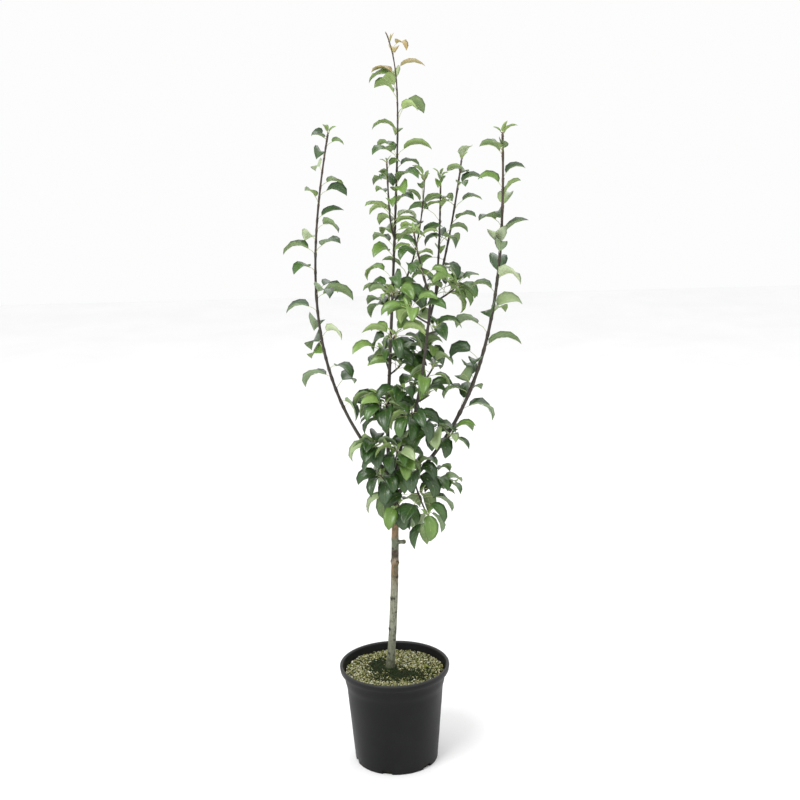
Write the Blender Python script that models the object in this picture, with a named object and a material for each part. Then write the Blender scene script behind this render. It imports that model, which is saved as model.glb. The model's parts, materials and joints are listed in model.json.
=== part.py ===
"""A young pear tree in a round nursery pot, for Blender 4.5.

Units are metres and +Z is up.  The origin is the middle of the pot's flat
underside.  A bare trunk rises out of the soil and forks into a leader and
four boughs.  The leader and each bough run on as a leafy shoot, and short
spurs with tufts of leaves stand round the leader and the lower boughs.
"""

import math
import random
from dataclasses import dataclass, replace

import bmesh
import bpy
from mathutils import Vector
from mathutils.bvhtree import BVHTree

# Pot: a turned plastic shell with a rolled lip, a collar and a tapered wall.
POT_HEIGHT = 0.2225
POT_BASE_RADIUS = 0.0906
POT_WALL_TOP_RADIUS = 0.1051
POT_WALL_TOP_HEIGHT = 0.168
COLLAR_BOTTOM_RADIUS = 0.1088
COLLAR_BOTTOM_HEIGHT = 0.184
COLLAR_TOP_RADIUS = 0.1106
LIP_BOTTOM_HEIGHT = 0.2040
LIP_BOTTOM_RADIUS = 0.1180
LIP_RADIUS = 0.1200
LIP_EDGE = 0.0018
MOUTH_RADIUS = 0.1165
WALL_THICKNESS = 0.0026
FLOOR_THICKNESS = 0.0040
POT_SEGMENTS = 36

# Drain notches round the pot's foot.
NOTCH_COUNT = 6
NOTCH_WIDTH = 0.021
NOTCH_HEIGHT = 0.0095
NOTCH_DEPTH = 0.0110
NOTCH_TURN = -44.0

# Soil that fills the pot.
SOIL_EDGE_HEIGHT = 0.2060
SOIL_TOP_HEIGHT = 0.2096
SOIL_FLAT_RADIUS = 0.030

# Clearances between separate pieces.
GAP = 0.0003
CUTTER_SLACK = 0.00004
LEAF_CLEARANCE = 0.0005
MERGE_DISTANCE = 0.000002
POLE_MERGE_DISTANCE = 0.00001
SOUND_UNION_SHARE = 0.9

# Leaf: a folded blade that arches over on a thin stalk.
GOLDEN_ANGLE = 137.5
FOLD_DEGREES = 26.0
BLADE_DROP_DEGREES = 8.0
BLADE_FOOT_SHARE = 0.12
BLADE_STATIONS = ((0.30, 0.96), (0.68, 0.80))
LEAF_THICKNESS = 0.0013
STALK_HALF_WIDTH = 0.0010

# How far one leaf's draw may stray from its mass's rule.
SHIFT_SPREAD = 0.6
TURN_SPREAD = 60.0
SIZE_SPREAD = 0.18
RISE_SPREAD = 18.0
ARCH_SPREAD = 32.0
ROLL_SPREAD = 42.0
STALK_SPREAD = 0.35
WIDTH_SPREAD = 0.12
LEAF_TRIES = 5

BARK = (0.150, 0.140, 0.105, 1.0)
YOUNG_BARK = (0.075, 0.055, 0.048, 1.0)
LEAF_GREEN = (0.070, 0.150, 0.045, 1.0)
POT_GREY = (0.022, 0.022, 0.023, 1.0)
SOIL_BROWN = (0.260, 0.240, 0.130, 1.0)


@dataclass(frozen=True)
class Limb:
    """A tapering stem that leaves its foot, swings out and turns upright."""

    name: str
    foot: tuple
    rise: float
    reach: float
    heading: float
    turn_up: float
    lean: tuple = (0.0, 0.0)
    foot_radius: float = 0.0020
    tip_radius: float = 0.0012
    flare: float = 0.0
    flare_height: float = 0.020
    start: float = 0.0
    end: float = 1.0
    sides: int = 4
    rings: int = 4
    flat_foot: bool = False

    def point(self, t):
        """Centre of the stem at t, from 0 at the foot to 1 at the tip."""
        swing = self.reach * (1.0 - math.exp(-self.turn_up * t)) / (1.0 - math.exp(-self.turn_up))
        angle = math.radians(self.heading)
        x = self.foot[0] + swing * math.cos(angle) + self.lean[0] * t
        y = self.foot[1] + swing * math.sin(angle) + self.lean[1] * t
        return Vector((x, y, self.foot[2] + self.rise * t))

    def radius(self, t):
        """Radius at t: an even taper, with a flare that fades above the foot."""
        taper = self.foot_radius + (self.tip_radius - self.foot_radius) * t
        return taper + self.flare * math.exp(-abs(self.rise) * t / self.flare_height)

    def tangent(self, t):
        """Direction of growth at t."""
        step = 0.002
        return (self.point(t + step) - self.point(t - step)).normalized()

    def speed(self, t):
        """Metres of stem for each unit of t."""
        step = 0.002
        return (self.point(t + step) - self.point(t - step)).length / (2.0 * step)

    def at_height(self, height):
        """Centre of the stem at a height above the pot's underside."""
        return tuple(self.point((height - self.foot[2]) / self.rise))


@dataclass(frozen=True)
class Foliage:
    """A leafy stem: leaves stand along it by a seeded spiral rule."""

    stem: Limb
    carriers: tuple
    phase: float
    count: int
    seed: int
    first: float = 0.35
    last: float = 1.0
    rise: float = 35.0
    tip_rise: float = 45.0
    arch: float = 95.0
    tip_arch: float = 90.0
    length: float = 0.058
    width: float = 0.036
    stalk: float = 0.024
    tip_size: float = 0.85

    def leaf(self, index, attempt):
        """Place and sizes of one leaf, from its own seeded draw.

        The spiral gives each leaf its turn round the stem, and the draw moves
        it a little from there.  A leaf that found no room is drawn again with
        the next attempt.
        """
        share = index / (self.count - 1)
        draw = random.Random(f"{self.seed} {index} {attempt}")
        stray = [draw.uniform(-1.0, 1.0) for _ in range(8)]
        along = min(1.0, max(0.0, share + SHIFT_SPREAD * stray[0] / self.count))
        young = 1.0 + (self.tip_size - 1.0) * share ** 3
        size = young * (1.0 + SIZE_SPREAD * stray[2])
        return Leaf(
            root=self.stem.point(self.first + (self.last - self.first) * along),
            azimuth=math.radians(self.phase + GOLDEN_ANGLE * index + TURN_SPREAD * stray[1]),
            rise=math.radians(self.rise + (self.tip_rise - self.rise) * share + RISE_SPREAD * stray[3]),
            arch=math.radians(self.arch + (self.tip_arch - self.arch) * share + ARCH_SPREAD * stray[4]),
            roll=math.radians(ROLL_SPREAD * stray[5]),
            stalk=self.stalk * (1.0 + STALK_SPREAD * stray[6]) * young,
            length=self.length * size,
            width=self.width * size * (1.0 + WIDTH_SPREAD * stray[7]),
        )


@dataclass(frozen=True)
class Leaf:
    """One leaf: a stalk from its root, and a folded blade that arches over."""

    root: Vector
    azimuth: float
    rise: float
    arch: float
    roll: float
    stalk: float
    length: float
    width: float

    def frame(self, angle):
        """Direction of growth, side and upper face where the leaf points up by angle."""
        outward = Vector((math.cos(self.azimuth), math.sin(self.azimuth), 0.0))
        across = Vector((-math.sin(self.azimuth), math.cos(self.azimuth), 0.0))
        upward = Vector((0.0, 0.0, 1.0))
        along = math.cos(angle) * outward + math.sin(angle) * upward
        normal = math.cos(angle) * upward - math.sin(angle) * outward
        side = math.cos(self.roll) * across + math.sin(self.roll) * normal
        face = math.cos(self.roll) * normal - math.sin(self.roll) * across
        return along, side, face

    def midrib(self, u):
        """Point of the midrib and its angle, from the blade's foot at 0 to its tip at 1."""
        start = self.rise - math.radians(BLADE_DROP_DEGREES)
        angle = start - self.arch * u
        outward = self.length * (math.sin(start) - math.sin(angle)) / self.arch
        upward = self.length * (math.cos(angle) - math.cos(start)) / self.arch
        base = self.root + self.stalk * self.frame(self.rise)[0]
        heading = Vector((math.cos(self.azimuth), math.sin(self.azimuth), 0.0))
        return base + outward * heading + Vector((0.0, 0.0, upward)), angle

    def stalk_ring(self, centre, angle, half_width, half_height):
        """Three corners round a point of the stalk, with the single one below."""
        _, side, face = self.frame(angle)
        top = centre + face * half_height / 2.0
        return [top + side * half_width, top - side * half_width, centre - face * half_height]

    def solid(self, extra=0.0):
        """Points and triangles of the closed leaf, made fatter all round by extra."""
        half = STALK_HALF_WIDTH + extra
        points = self.stalk_ring(self.root, self.rise, half, half)
        foot, angle = self.midrib(0.0)
        foot_half = max(0.5 * self.width * BLADE_FOOT_SHARE, STALK_HALF_WIDTH) + extra
        points += self.stalk_ring(foot, angle, foot_half, half)
        fold = math.radians(FOLD_DEGREES)
        for u, share in BLADE_STATIONS:
            rib, angle = self.midrib(u)
            _, side, face = self.frame(angle)
            half = 0.5 * self.width * share + extra
            lift = face * half * math.sin(fold)
            points += [rib + side * half * math.cos(fold) + lift, rib + face * extra]
            points += [rib - side * half * math.cos(fold) + lift, rib - face * (LEAF_THICKNESS + extra)]
        tip, angle = self.midrib(1.0)
        points.append(tip + self.frame(angle)[0] * extra)
        return points, LEAF_TRIANGLES


def leaf_triangles(stations):
    """Triangles of a closed leaf: a three-cornered stalk, then four-cornered rings and a tip.

    Every diagonal of the blade runs from its edge to its rib, above and below
    alike, so the thin upper and lower faces never cross.
    """
    faces = [(0, 1, 2)]
    for corner in range(3):
        after = (corner + 1) % 3
        faces += [(corner, 3 + corner, 3 + after), (corner, 3 + after, after)]
    foot_a, foot_b, foot_under, edge_a, top, edge_b, under = range(3, 10)
    faces += [(foot_a, edge_a, top), (foot_a, top, foot_b), (foot_b, top, edge_b)]
    faces += [(foot_b, edge_b, under), (foot_b, under, foot_under)]
    faces += [(foot_under, under, edge_a), (foot_under, edge_a, foot_a)]
    for station in range(stations - 1):
        edge_a, top, edge_b, under = (6 + 4 * station + corner for corner in range(4))
        next_a, next_top, next_b, next_under = (10 + 4 * station + corner for corner in range(4))
        faces += [(edge_a, next_top, top), (edge_a, next_a, next_top)]
        faces += [(edge_b, top, next_top), (edge_b, next_top, next_b)]
        faces += [(edge_b, next_under, under), (edge_b, next_b, next_under)]
        faces += [(edge_a, under, next_under), (edge_a, next_under, next_a)]
    last = 2 + 4 * stations
    tip = last + 4
    faces += [(last + corner, tip, last + (corner + 1) % 4) for corner in range(4)]
    return [face[::-1] for face in faces]


STALK_FACES = 7
LEAF_TRIANGLES = leaf_triangles(len(BLADE_STATIONS))


TRUNK = Limb(
    "trunk", (-0.010, 0.0, SOIL_TOP_HEIGHT + GAP), rise=0.440, reach=0.057, heading=0.0, turn_up=0.76,
    lean=(-0.037, 0.0), foot_radius=0.0088, tip_radius=0.0070, flare=0.0024, flare_height=0.016,
    sides=10, rings=13, flat_foot=True,
)
LEADER = Limb(
    "leader", (0.010, 0.0, 0.650), rise=0.407, reach=0.019, heading=180.0, turn_up=12.0, lean=(0.025, 0.0),
    foot_radius=0.0041, tip_radius=0.0029, flare=0.0022, start=0.0008, sides=8, rings=13,
)
LEFT_BOUGH = Limb(
    "left_bough", (0.010, 0.0, 0.640), rise=0.720, reach=0.360, heading=168.0, turn_up=2.35,
    lean=(0.233, 0.0), foot_radius=0.0037, tip_radius=0.0018, flare=0.0012, end=0.196, sides=8, rings=8,
)
RIGHT_BOUGH = Limb(
    "right_bough", (0.0097, 0.0, 0.606), rise=0.756, reach=0.316, heading=-14.7, turn_up=2.6,
    lean=(-0.080, 0.0), foot_radius=0.0043, tip_radius=0.0020, flare=0.0012, end=0.235, sides=8, rings=9,
)
FRONT_BOUGH = Limb(
    "front_bough", (0.010, 0.0, 0.640), rise=0.407, reach=0.120, heading=-48.0, turn_up=1.4,
    foot_radius=0.0035, tip_radius=0.0026, flare=0.0010, sides=8, rings=10,
)
BACK_BOUGH = Limb(
    "back_bough", (0.010, 0.0, 0.644), rise=0.382, reach=0.070, heading=90.0, turn_up=2.5,
    lean=(0.096, 0.0), foot_radius=0.0034, tip_radius=0.0026, flare=0.0010, sides=8, rings=10,
)
LIMBS = [
    (TRUNK, ()),
    (LEADER, (TRUNK,)),
    (LEFT_BOUGH, (TRUNK, LEADER)),
    (RIGHT_BOUGH, (TRUNK,)),
    (FRONT_BOUGH, (TRUNK, LEADER, LEFT_BOUGH)),
    (BACK_BOUGH, (TRUNK, LEADER, FRONT_BOUGH)),
]


def continued(limb, name, rings):
    """The leafy rest of a bough, from just past the end of its bare part."""
    start = limb.end + GAP / limb.speed(limb.end)
    return replace(limb, name=name, flare=0.0, start=start, end=1.0, sides=5, rings=rings)


def grown_on(limb, name, rise, reach, heading, turn_up, **sizes):
    """A stem that carries on from a limb's tip, just clear of its end."""
    stem = Limb(name, tuple(limb.point(1.0)), rise, reach, heading, turn_up, **sizes)
    return replace(stem, start=GAP / stem.speed(0.0))


LEFT_SHOOT = continued(LEFT_BOUGH, "left_shoot", 14)
RIGHT_SHOOT = continued(RIGHT_BOUGH, "right_shoot", 14)
LEADER_SHOOT = grown_on(
    LEADER, "leader_shoot", rise=0.499, reach=0.031, heading=180.0, turn_up=-7.6, lean=(0.030, 0.0),
    foot_radius=0.0029, tip_radius=0.0010, sides=5, rings=14,
)
INNER_LEFT_SHOOT = Limb(
    "inner_left_shoot", LEADER_SHOOT.at_height(1.155), rise=0.152, reach=0.031, heading=-107.0, turn_up=5.5,
    lean=(-0.003, 0.0), foot_radius=0.0019, tip_radius=0.0015, sides=5, rings=8,
)
INNER_RIGHT_SHOOT = Limb(
    "inner_right_shoot", LEADER.at_height(1.017), rise=0.249, reach=0.078, heading=31.0, turn_up=2.5,
    lean=(0.006, 0.0), foot_radius=0.0021, tip_radius=0.0011, sides=5, rings=10,
)
FRONT_SHOOT = grown_on(
    FRONT_BOUGH, "front_shoot", rise=0.129, reach=0.014, heading=225.0, turn_up=3.0, lean=(-0.021, 0.0),
    foot_radius=0.0025, tip_radius=0.0014, sides=5, rings=6,
)
BACK_SHOOT = grown_on(
    BACK_BOUGH, "back_shoot", rise=0.241, reach=0.016, heading=38.0, turn_up=1.9, lean=(0.002, 0.0),
    foot_radius=0.0025, tip_radius=0.0015, sides=5, rings=9,
)
OUTER_SHOOT = Limb(
    "outer_shoot", BACK_BOUGH.at_height(0.994), rise=0.303, reach=0.095, heading=39.0, turn_up=0.67,
    lean=(-0.005, 0.0), foot_radius=0.0025, tip_radius=0.0018, sides=5, rings=11,
)


def spur(name, carrier, height, climb, reach, heading, turn_up=0.6, carriers=(), **sizes):
    """A short leafy twig that leaves a limb at a height."""
    stem = Limb(name, carrier.at_height(height), climb, reach, heading, turn_up)
    return Foliage(stem, (carrier,) + carriers, **sizes)


MASSES = [
    Foliage(
        LEFT_SHOOT, (LEFT_BOUGH,),
        phase=300.0, count=21, seed=239, first=0.215, last=0.99, rise=29.0,
        tip_rise=52.0, arch=107.0, tip_arch=69.0, length=0.063, width=0.038, tip_size=0.5,
    ),
    Foliage(
        RIGHT_SHOOT, (RIGHT_BOUGH,),
        phase=10.0, count=22, seed=210, first=0.25, last=0.99, rise=48.0,
        tip_rise=70.0, arch=105.0, tip_arch=81.0, length=0.063, width=0.038, tip_size=0.5,
    ),
    Foliage(
        LEADER_SHOOT, (LEADER,),
        phase=325.0, count=24, seed=320, first=0.0, last=0.955, rise=50.0,
        tip_rise=56.0, arch=113.0, length=0.061, width=0.037, tip_size=0.72,
    ),
    Foliage(
        INNER_RIGHT_SHOOT, (LEADER,),
        phase=355.0, count=13, seed=226, first=0.12, rise=48.0, tip_rise=60.0, arch=105.0,
        tip_arch=70.0, length=0.048, width=0.03, stalk=0.027, tip_size=0.7,
    ),
    Foliage(
        INNER_LEFT_SHOOT, (LEADER_SHOOT,),
        phase=35.0, count=6, seed=196, first=0.12, last=0.98, rise=42.0, tip_rise=62.0, arch=105.0,
        tip_arch=87.0, length=0.045, width=0.028, tip_size=0.7,
    ),
    Foliage(
        FRONT_SHOOT, (FRONT_BOUGH,),
        phase=60.0, count=7, seed=310, first=0.08, rise=47.0, tip_rise=62.0, arch=117.0,
        tip_arch=65.0, length=0.046, width=0.03, tip_size=0.7,
    ),
    Foliage(
        BACK_SHOOT, (BACK_BOUGH,),
        phase=225.0, count=10, seed=111, first=0.05, rise=47.0, tip_rise=57.0, arch=98.0,
        tip_arch=83.0, length=0.05, width=0.031, stalk=0.028, tip_size=0.7,
    ),
    Foliage(
        OUTER_SHOOT, (BACK_BOUGH,),
        phase=310.0, count=11, seed=283, first=0.1, rise=20.0, tip_rise=62.0, arch=105.0,
        tip_arch=74.0, length=0.054, width=0.033, tip_size=0.7,
    ),
    spur(
        "spur_leader_a", LEADER, height=1.03, climb=0.018, reach=0.045, heading=-86.0,
        phase=290.0, count=8, seed=102, tip_rise=46.0, arch=92.0,
    ),
    spur(
        "spur_front_left", FRONT_BOUGH, height=0.993, climb=0.033, reach=0.044, heading=-157.0,
        phase=165.0, count=6, seed=282, rise=28.0, tip_arch=94.0, stalk=0.027,
    ),
    spur(
        "spur_back_right", BACK_BOUGH, height=1.009, climb=0.037, reach=0.056, heading=-31.0,
        phase=40.0, count=9, seed=309, rise=37.0, tip_arch=79.0,
    ),
    spur(
        "spur_front_stub", FRONT_BOUGH, height=0.971, climb=0.001, reach=0.029, heading=45.0,
        phase=25.0, count=4, seed=50, tip_rise=27.0, arch=100.0, tip_arch=61.0,
    ),
    spur(
        "spur_leader_b", LEADER, height=0.942, climb=0.018, reach=0.05, heading=-82.0,
        phase=135.0, count=6, seed=211, rise=19.0, arch=92.0, tip_arch=74.0,
    ),
    spur(
        "spur_leader_c", LEADER, height=0.897, climb=0.024, reach=0.019, heading=-148.0,
        phase=60.0, count=6, seed=177, arch=103.0,
    ),
    spur(
        "spur_leader_d", LEADER, height=0.87, climb=0.012, reach=0.038, heading=53.0,
        phase=335.0, count=6, seed=232, tip_arch=92.0, stalk=0.021,
    ),
    spur(
        "spur_leader_e", LEADER, height=0.822, climb=0.017, reach=0.046, heading=-50.0,
        phase=25.0, count=5, seed=305, rise=31.0, arch=97.0, stalk=0.023,
    ),
    spur(
        "spur_leader_f", LEADER, height=0.818, climb=0.01, reach=0.024, heading=-155.0,
        phase=80.0, count=5, seed=103, rise=23.0, tip_rise=29.0, arch=117.0, tip_arch=78.0,
    ),
    spur(
        "spur_leader_g", LEADER, height=0.794, climb=0.024, reach=0.05, heading=-95.0,
        phase=260.0, count=6, seed=80, rise=33.0, tip_rise=24.0, stalk=0.023,
    ),
    spur(
        "spur_back_a", BACK_BOUGH, height=0.885, climb=0.027, reach=0.043, heading=-69.0,
        phase=190.0, count=6, seed=80, tip_rise=76.0, arch=80.0, tip_arch=99.0,
    ),
    spur(
        "spur_front_a", FRONT_BOUGH, height=0.86, climb=0.029, reach=0.043, heading=50.0,
        phase=305.0, count=5, seed=32, arch=96.0,
    ),
    spur(
        "spur_front_b", FRONT_BOUGH, height=0.824, climb=0.006, reach=0.034, heading=48.0,
        phase=350.0, count=5, seed=42, rise=44.0, tip_rise=64.0, arch=93.0, tip_arch=73.0,
    ),
    spur(
        "spur_front_c", FRONT_BOUGH, height=0.775, climb=0.03, reach=0.016, heading=-93.0,
        phase=325.0, count=7, seed=254, rise=20.0, tip_rise=26.0, arch=80.0,
    ),
    spur(
        "spur_right_in", RIGHT_BOUGH, height=0.721, climb=0.043, reach=0.019, heading=-143.0,
        phase=240.0, count=8, seed=298, rise=31.0, arch=114.0, tip_arch=96.0, stalk=0.018,
    ),
    spur(
        "spur_right_out", RIGHT_BOUGH, height=0.726, climb=0.021, reach=0.024, heading=-41.0,
        phase=260.0, count=4, seed=122, rise=37.0, tip_arch=94.0,
    ),
    spur(
        "spur_leader_left", LEADER, height=0.691, climb=0.023, reach=0.037, heading=-147.0,
        phase=325.0, count=10, seed=205, arch=125.0, tip_arch=97.0,
    ),
    spur(
        "spur_trunk_left", TRUNK, height=0.626, climb=0.031, reach=0.035, heading=-145.0,
        phase=315.0, count=10, seed=313, rise=20.0, tip_rise=30.0, arch=106.0, tip_arch=106.0,
        stalk=0.026,
    ),
    spur(
        "spur_front_low", LEADER, height=0.663, climb=0.057, reach=0.061, heading=-79.0, carriers=(TRUNK,),
        phase=245.0, count=11, seed=46, rise=20.0, tip_rise=31.0, tip_arch=80.0,
    ),
    spur(
        "spur_right_low", TRUNK, height=0.619, climb=0.061, reach=0.062, heading=-29.0,
        carriers=(RIGHT_BOUGH,),
        phase=30.0, count=8, seed=179, rise=20.0, tip_rise=47.0, tip_arch=111.0, stalk=0.02,
    ),
    spur(
        "twig_droop", RIGHT_BOUGH, height=0.649, climb=-0.072, reach=0.056, heading=-59.0, turn_up=-1.2,
        phase=0.0, count=12, seed=343, first=0.4, rise=0.0, tip_rise=-30.0, arch=83.0,
        tip_arch=50.0, stalk=0.029,
    ),
    spur(
        "twig_right", RIGHT_BOUGH, height=0.652, climb=-0.043, reach=0.08, heading=24.0,
        phase=345.0, count=8, seed=111, first=0.4, rise=25.0, tip_rise=42.0, tip_arch=91.0,
        length=0.046, width=0.03,
    ),
    spur(
        "twig_left_low", TRUNK, height=0.597, climb=0.003, reach=0.051, heading=-81.0,
        phase=140.0, count=6, seed=36, first=0.3, rise=10.0, tip_rise=0.0, arch=113.0,
        tip_arch=60.0,
    ),
    spur(
        "spur_back_high", LEADER, height=0.99, climb=0.027, reach=0.06, heading=94.0,
        phase=155.0, count=5, seed=187, tip_rise=73.0,
    ),
    spur(
        "spur_back_mid", LEADER, height=0.876, climb=0.03, reach=0.061, heading=100.0,
        phase=260.0, count=6, seed=130, rise=48.0,
    ),
    spur(
        "spur_back_low", LEADER, height=0.747, climb=0.023, reach=0.055, heading=93.0,
        phase=35.0, count=7, seed=156, arch=96.0,
    ),
    spur(
        "spur_fork_back", TRUNK, height=0.614, climb=0.032, reach=0.055, heading=86.0,
        phase=30.0, count=8, seed=111, rise=18.0, tip_rise=30.0, arch=106.0,
    ),
]


def clear_scene():
    """Empty the scene, so that only this model is in it."""
    for item in list(bpy.data.objects):
        bpy.data.objects.remove(item, do_unlink=True)


def principled(name, colour, roughness):
    """Make a plain material with a base colour and a roughness."""
    material = bpy.data.materials.new(name)
    material.use_nodes = True
    shader = material.node_tree.nodes["Principled BSDF"]
    shader.inputs["Base Color"].default_value = colour
    shader.inputs["Roughness"].default_value = roughness
    shader.inputs["Metallic"].default_value = 0.0
    material.diffuse_color = colour
    return material


def add_object(name, mesh, material, smooth_degrees=None):
    """Link a mesh to the scene as one named object with its own material."""
    mesh.name = name
    mesh.materials.append(material)
    if smooth_degrees is not None:
        mesh.shade_smooth()
        mesh.set_sharp_from_angle(angle=math.radians(smooth_degrees))
    piece = bpy.data.objects.new(name, mesh)
    bpy.context.scene.collection.objects.link(piece)
    return piece


def mesh_from(name, points, faces):
    """Make a mesh from points and faces."""
    mesh = bpy.data.meshes.new(name)
    mesh.from_pydata([tuple(point) for point in points], [], faces)
    mesh.update()
    return mesh


def turned_mesh(name, profile, segments):
    """Spin a profile of (radius, height) points once round the vertical axis."""
    bm = bmesh.new()
    verts = [bm.verts.new((radius, 0.0, height)) for radius, height in profile]
    edges = [bm.edges.new(pair) for pair in zip(verts, verts[1:])]
    bmesh.ops.spin(
        bm, geom=verts + edges, cent=(0.0, 0.0, 0.0), axis=(0.0, 0.0, 1.0),
        angle=2.0 * math.pi, steps=segments, use_merge=True,
    )
    bmesh.ops.remove_doubles(bm, verts=bm.verts, dist=POLE_MERGE_DISTANCE)
    bmesh.ops.recalc_face_normals(bm, faces=bm.faces)
    mesh = bpy.data.meshes.new(name)
    bm.to_mesh(mesh)
    bm.free()
    return mesh


def apply_boolean(piece, operation, cutter=None, collection=None, solver="EXACT"):
    """Join or cut a piece by an object or a whole collection, for good."""
    modifier = piece.modifiers.new("shape", "BOOLEAN")
    modifier.operation = operation
    modifier.solver = solver
    if collection is None:
        modifier.object = cutter
    else:
        modifier.operand_type = "COLLECTION"
        modifier.collection = collection
    with bpy.context.temp_override(object=piece, active_object=piece):
        bpy.ops.object.modifier_apply(modifier=modifier.name)


def discard(piece):
    """Remove an object together with its mesh."""
    mesh = piece.data
    bpy.data.objects.remove(piece, do_unlink=True)
    bpy.data.meshes.remove(mesh)


def wall_radius(height):
    """Outer radius of the pot's tapered wall at a height."""
    share = height / POT_WALL_TOP_HEIGHT
    return POT_BASE_RADIUS + (POT_WALL_TOP_RADIUS - POT_BASE_RADIUS) * share


def inner_profile(inset):
    """Inside of the pot from the floor to under the lip, drawn in by inset."""
    floor = FLOOR_THICKNESS + inset
    shrink = WALL_THICKNESS + inset
    return [
        (0.0, floor),
        (wall_radius(floor) - shrink, floor),
        (POT_WALL_TOP_RADIUS - shrink, POT_WALL_TOP_HEIGHT),
        (COLLAR_BOTTOM_RADIUS - shrink, COLLAR_BOTTOM_HEIGHT),
        (COLLAR_TOP_RADIUS - shrink, LIP_BOTTOM_HEIGHT),
    ]


def build_pot():
    """Turn the pot's shell and cut the drain notches out of its foot."""
    outer = [
        (0.0, 0.0),
        (POT_BASE_RADIUS - LIP_EDGE, 0.0),
        (wall_radius(LIP_EDGE), LIP_EDGE),
        (POT_WALL_TOP_RADIUS, POT_WALL_TOP_HEIGHT),
        (COLLAR_BOTTOM_RADIUS, COLLAR_BOTTOM_HEIGHT),
        (COLLAR_TOP_RADIUS, LIP_BOTTOM_HEIGHT),
        (LIP_BOTTOM_RADIUS, LIP_BOTTOM_HEIGHT),
        (LIP_RADIUS, POT_HEIGHT - 2.0 * LIP_EDGE),
        (LIP_RADIUS - LIP_EDGE / 2.0, POT_HEIGHT),
    ]
    inner = inner_profile(0.0)
    inner.append((MOUTH_RADIUS, POT_HEIGHT))
    mesh = turned_mesh("pot", outer + inner[::-1], POT_SEGMENTS)
    pot = add_object("pot", mesh, principled("pot_plastic", POT_GREY, 0.45), 35.0)
    for index in range(NOTCH_COUNT):
        angle = math.radians(NOTCH_TURN + 360.0 * index / NOTCH_COUNT)
        radius = POT_BASE_RADIUS
        middle = (radius * math.cos(angle), radius * math.sin(angle), 0.0)
        bpy.ops.mesh.primitive_cube_add(size=1.0, location=middle, rotation=(0.0, 0.0, angle))
        cutter = bpy.context.active_object
        cutter.scale = (NOTCH_DEPTH, NOTCH_WIDTH, 2.0 * NOTCH_HEIGHT)
        bpy.context.view_layer.update()
        apply_boolean(pot, "DIFFERENCE", cutter)
        discard(cutter)
    return pot


def build_soil():
    """Fill the pot with a slightly domed body of soil, clear of the shell."""
    sides = inner_profile(GAP)
    mouth_slope = (MOUTH_RADIUS - COLLAR_TOP_RADIUS + WALL_THICKNESS) / (POT_HEIGHT - LIP_BOTTOM_HEIGHT)
    edge_radius = sides[-1][0] + (SOIL_EDGE_HEIGHT - LIP_BOTTOM_HEIGHT) * mouth_slope
    profile = sides + [(edge_radius, SOIL_EDGE_HEIGHT)]
    for share in (0.5, 0.0):
        radius = SOIL_FLAT_RADIUS + (edge_radius - SOIL_FLAT_RADIUS) * share
        swell = 1.0 - share ** 2
        profile.append((radius, SOIL_EDGE_HEIGHT + (SOIL_TOP_HEIGHT - SOIL_EDGE_HEIGHT) * swell))
    profile.append((0.0, SOIL_TOP_HEIGHT))
    mesh = turned_mesh("soil", profile, POT_SEGMENTS)
    return add_object("soil", mesh, principled("soil_chips", SOIL_BROWN, 0.95), 40.0)


def tube_solid(limb, extra=0.0, overrun=0.0):
    """Points and faces of a limb's closed tube, fatter by extra and longer by overrun.

    The rings are carried along the stem without twist, so a fatter copy runs
    parallel to the limb's own faces.
    """
    points = []
    side = None
    for ring in range(limb.rings):
        t = limb.start + (limb.end - limb.start) * ring / (limb.rings - 1)
        along = limb.tangent(t)
        if ring == 0 and limb.flat_foot:
            along = Vector((0.0, 0.0, 1.0))
        if side is None:
            side = Vector((1.0, 0.0, 0.0)) if abs(along.x) < 0.8 else Vector((0.0, 1.0, 0.0))
        side = (side - along * side.dot(along)).normalized()
        front = along.cross(side)
        radius = limb.radius(t) + extra
        centre = limb.point(t)
        if ring == 0:
            centre = centre - along * overrun
        if ring == limb.rings - 1:
            centre = centre + along * overrun
        for step in range(limb.sides):
            angle = 2.0 * math.pi * step / limb.sides
            points.append(centre + radius * (math.cos(angle) * side + math.sin(angle) * front))
    faces = [tuple(range(limb.sides))[::-1]]
    for ring in range(limb.rings - 1):
        low = ring * limb.sides
        for step in range(limb.sides):
            after = (step + 1) % limb.sides
            faces.append((low + step, low + after, low + limb.sides + after, low + limb.sides + step))
    top = (limb.rings - 1) * limb.sides
    faces.append(tuple(range(top, top + limb.sides)))
    return points, faces


def build_stem(limb, carriers, material):
    """Build a limb and cut its foot clear of the limbs that carry it."""
    points, faces = tube_solid(limb)
    stem = add_object(limb.name, mesh_from(limb.name, points, faces), material)
    for carrier in carriers:
        clear = (GAP + CUTTER_SLACK) / math.cos(math.pi / carrier.sides)
        points, faces = tube_solid(carrier, clear, GAP)
        cutter = add_object("cutter", mesh_from("cutter", points, faces), material)
        apply_boolean(stem, "DIFFERENCE", cutter)
        discard(cutter)
    keep_largest_body(stem.data)
    return stem


def keep_largest_body(mesh):
    """Leave only the mesh's largest closed body: scraps and sealed hollows go."""
    bm = bmesh.new()
    bm.from_mesh(mesh)
    bmesh.ops.remove_doubles(bm, verts=bm.verts, dist=MERGE_DISTANCE)
    bmesh.ops.dissolve_degenerate(bm, edges=bm.edges, dist=MERGE_DISTANCE)
    bmesh.ops.triangulate(bm, faces=bm.faces)
    bodies = []
    seen = set()
    for start in bm.faces:
        if start in seen:
            continue
        body = [start]
        seen.add(start)
        for face in body:
            for edge in face.edges:
                for other in edge.link_faces:
                    if other not in seen:
                        seen.add(other)
                        body.append(other)
        bodies.append(body)
    bodies.sort(key=body_volume)
    for body in bodies[:-1]:
        bmesh.ops.delete(bm, geom=body, context="FACES")
    bm.to_mesh(mesh)
    bm.free()
    mesh.update()


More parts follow.
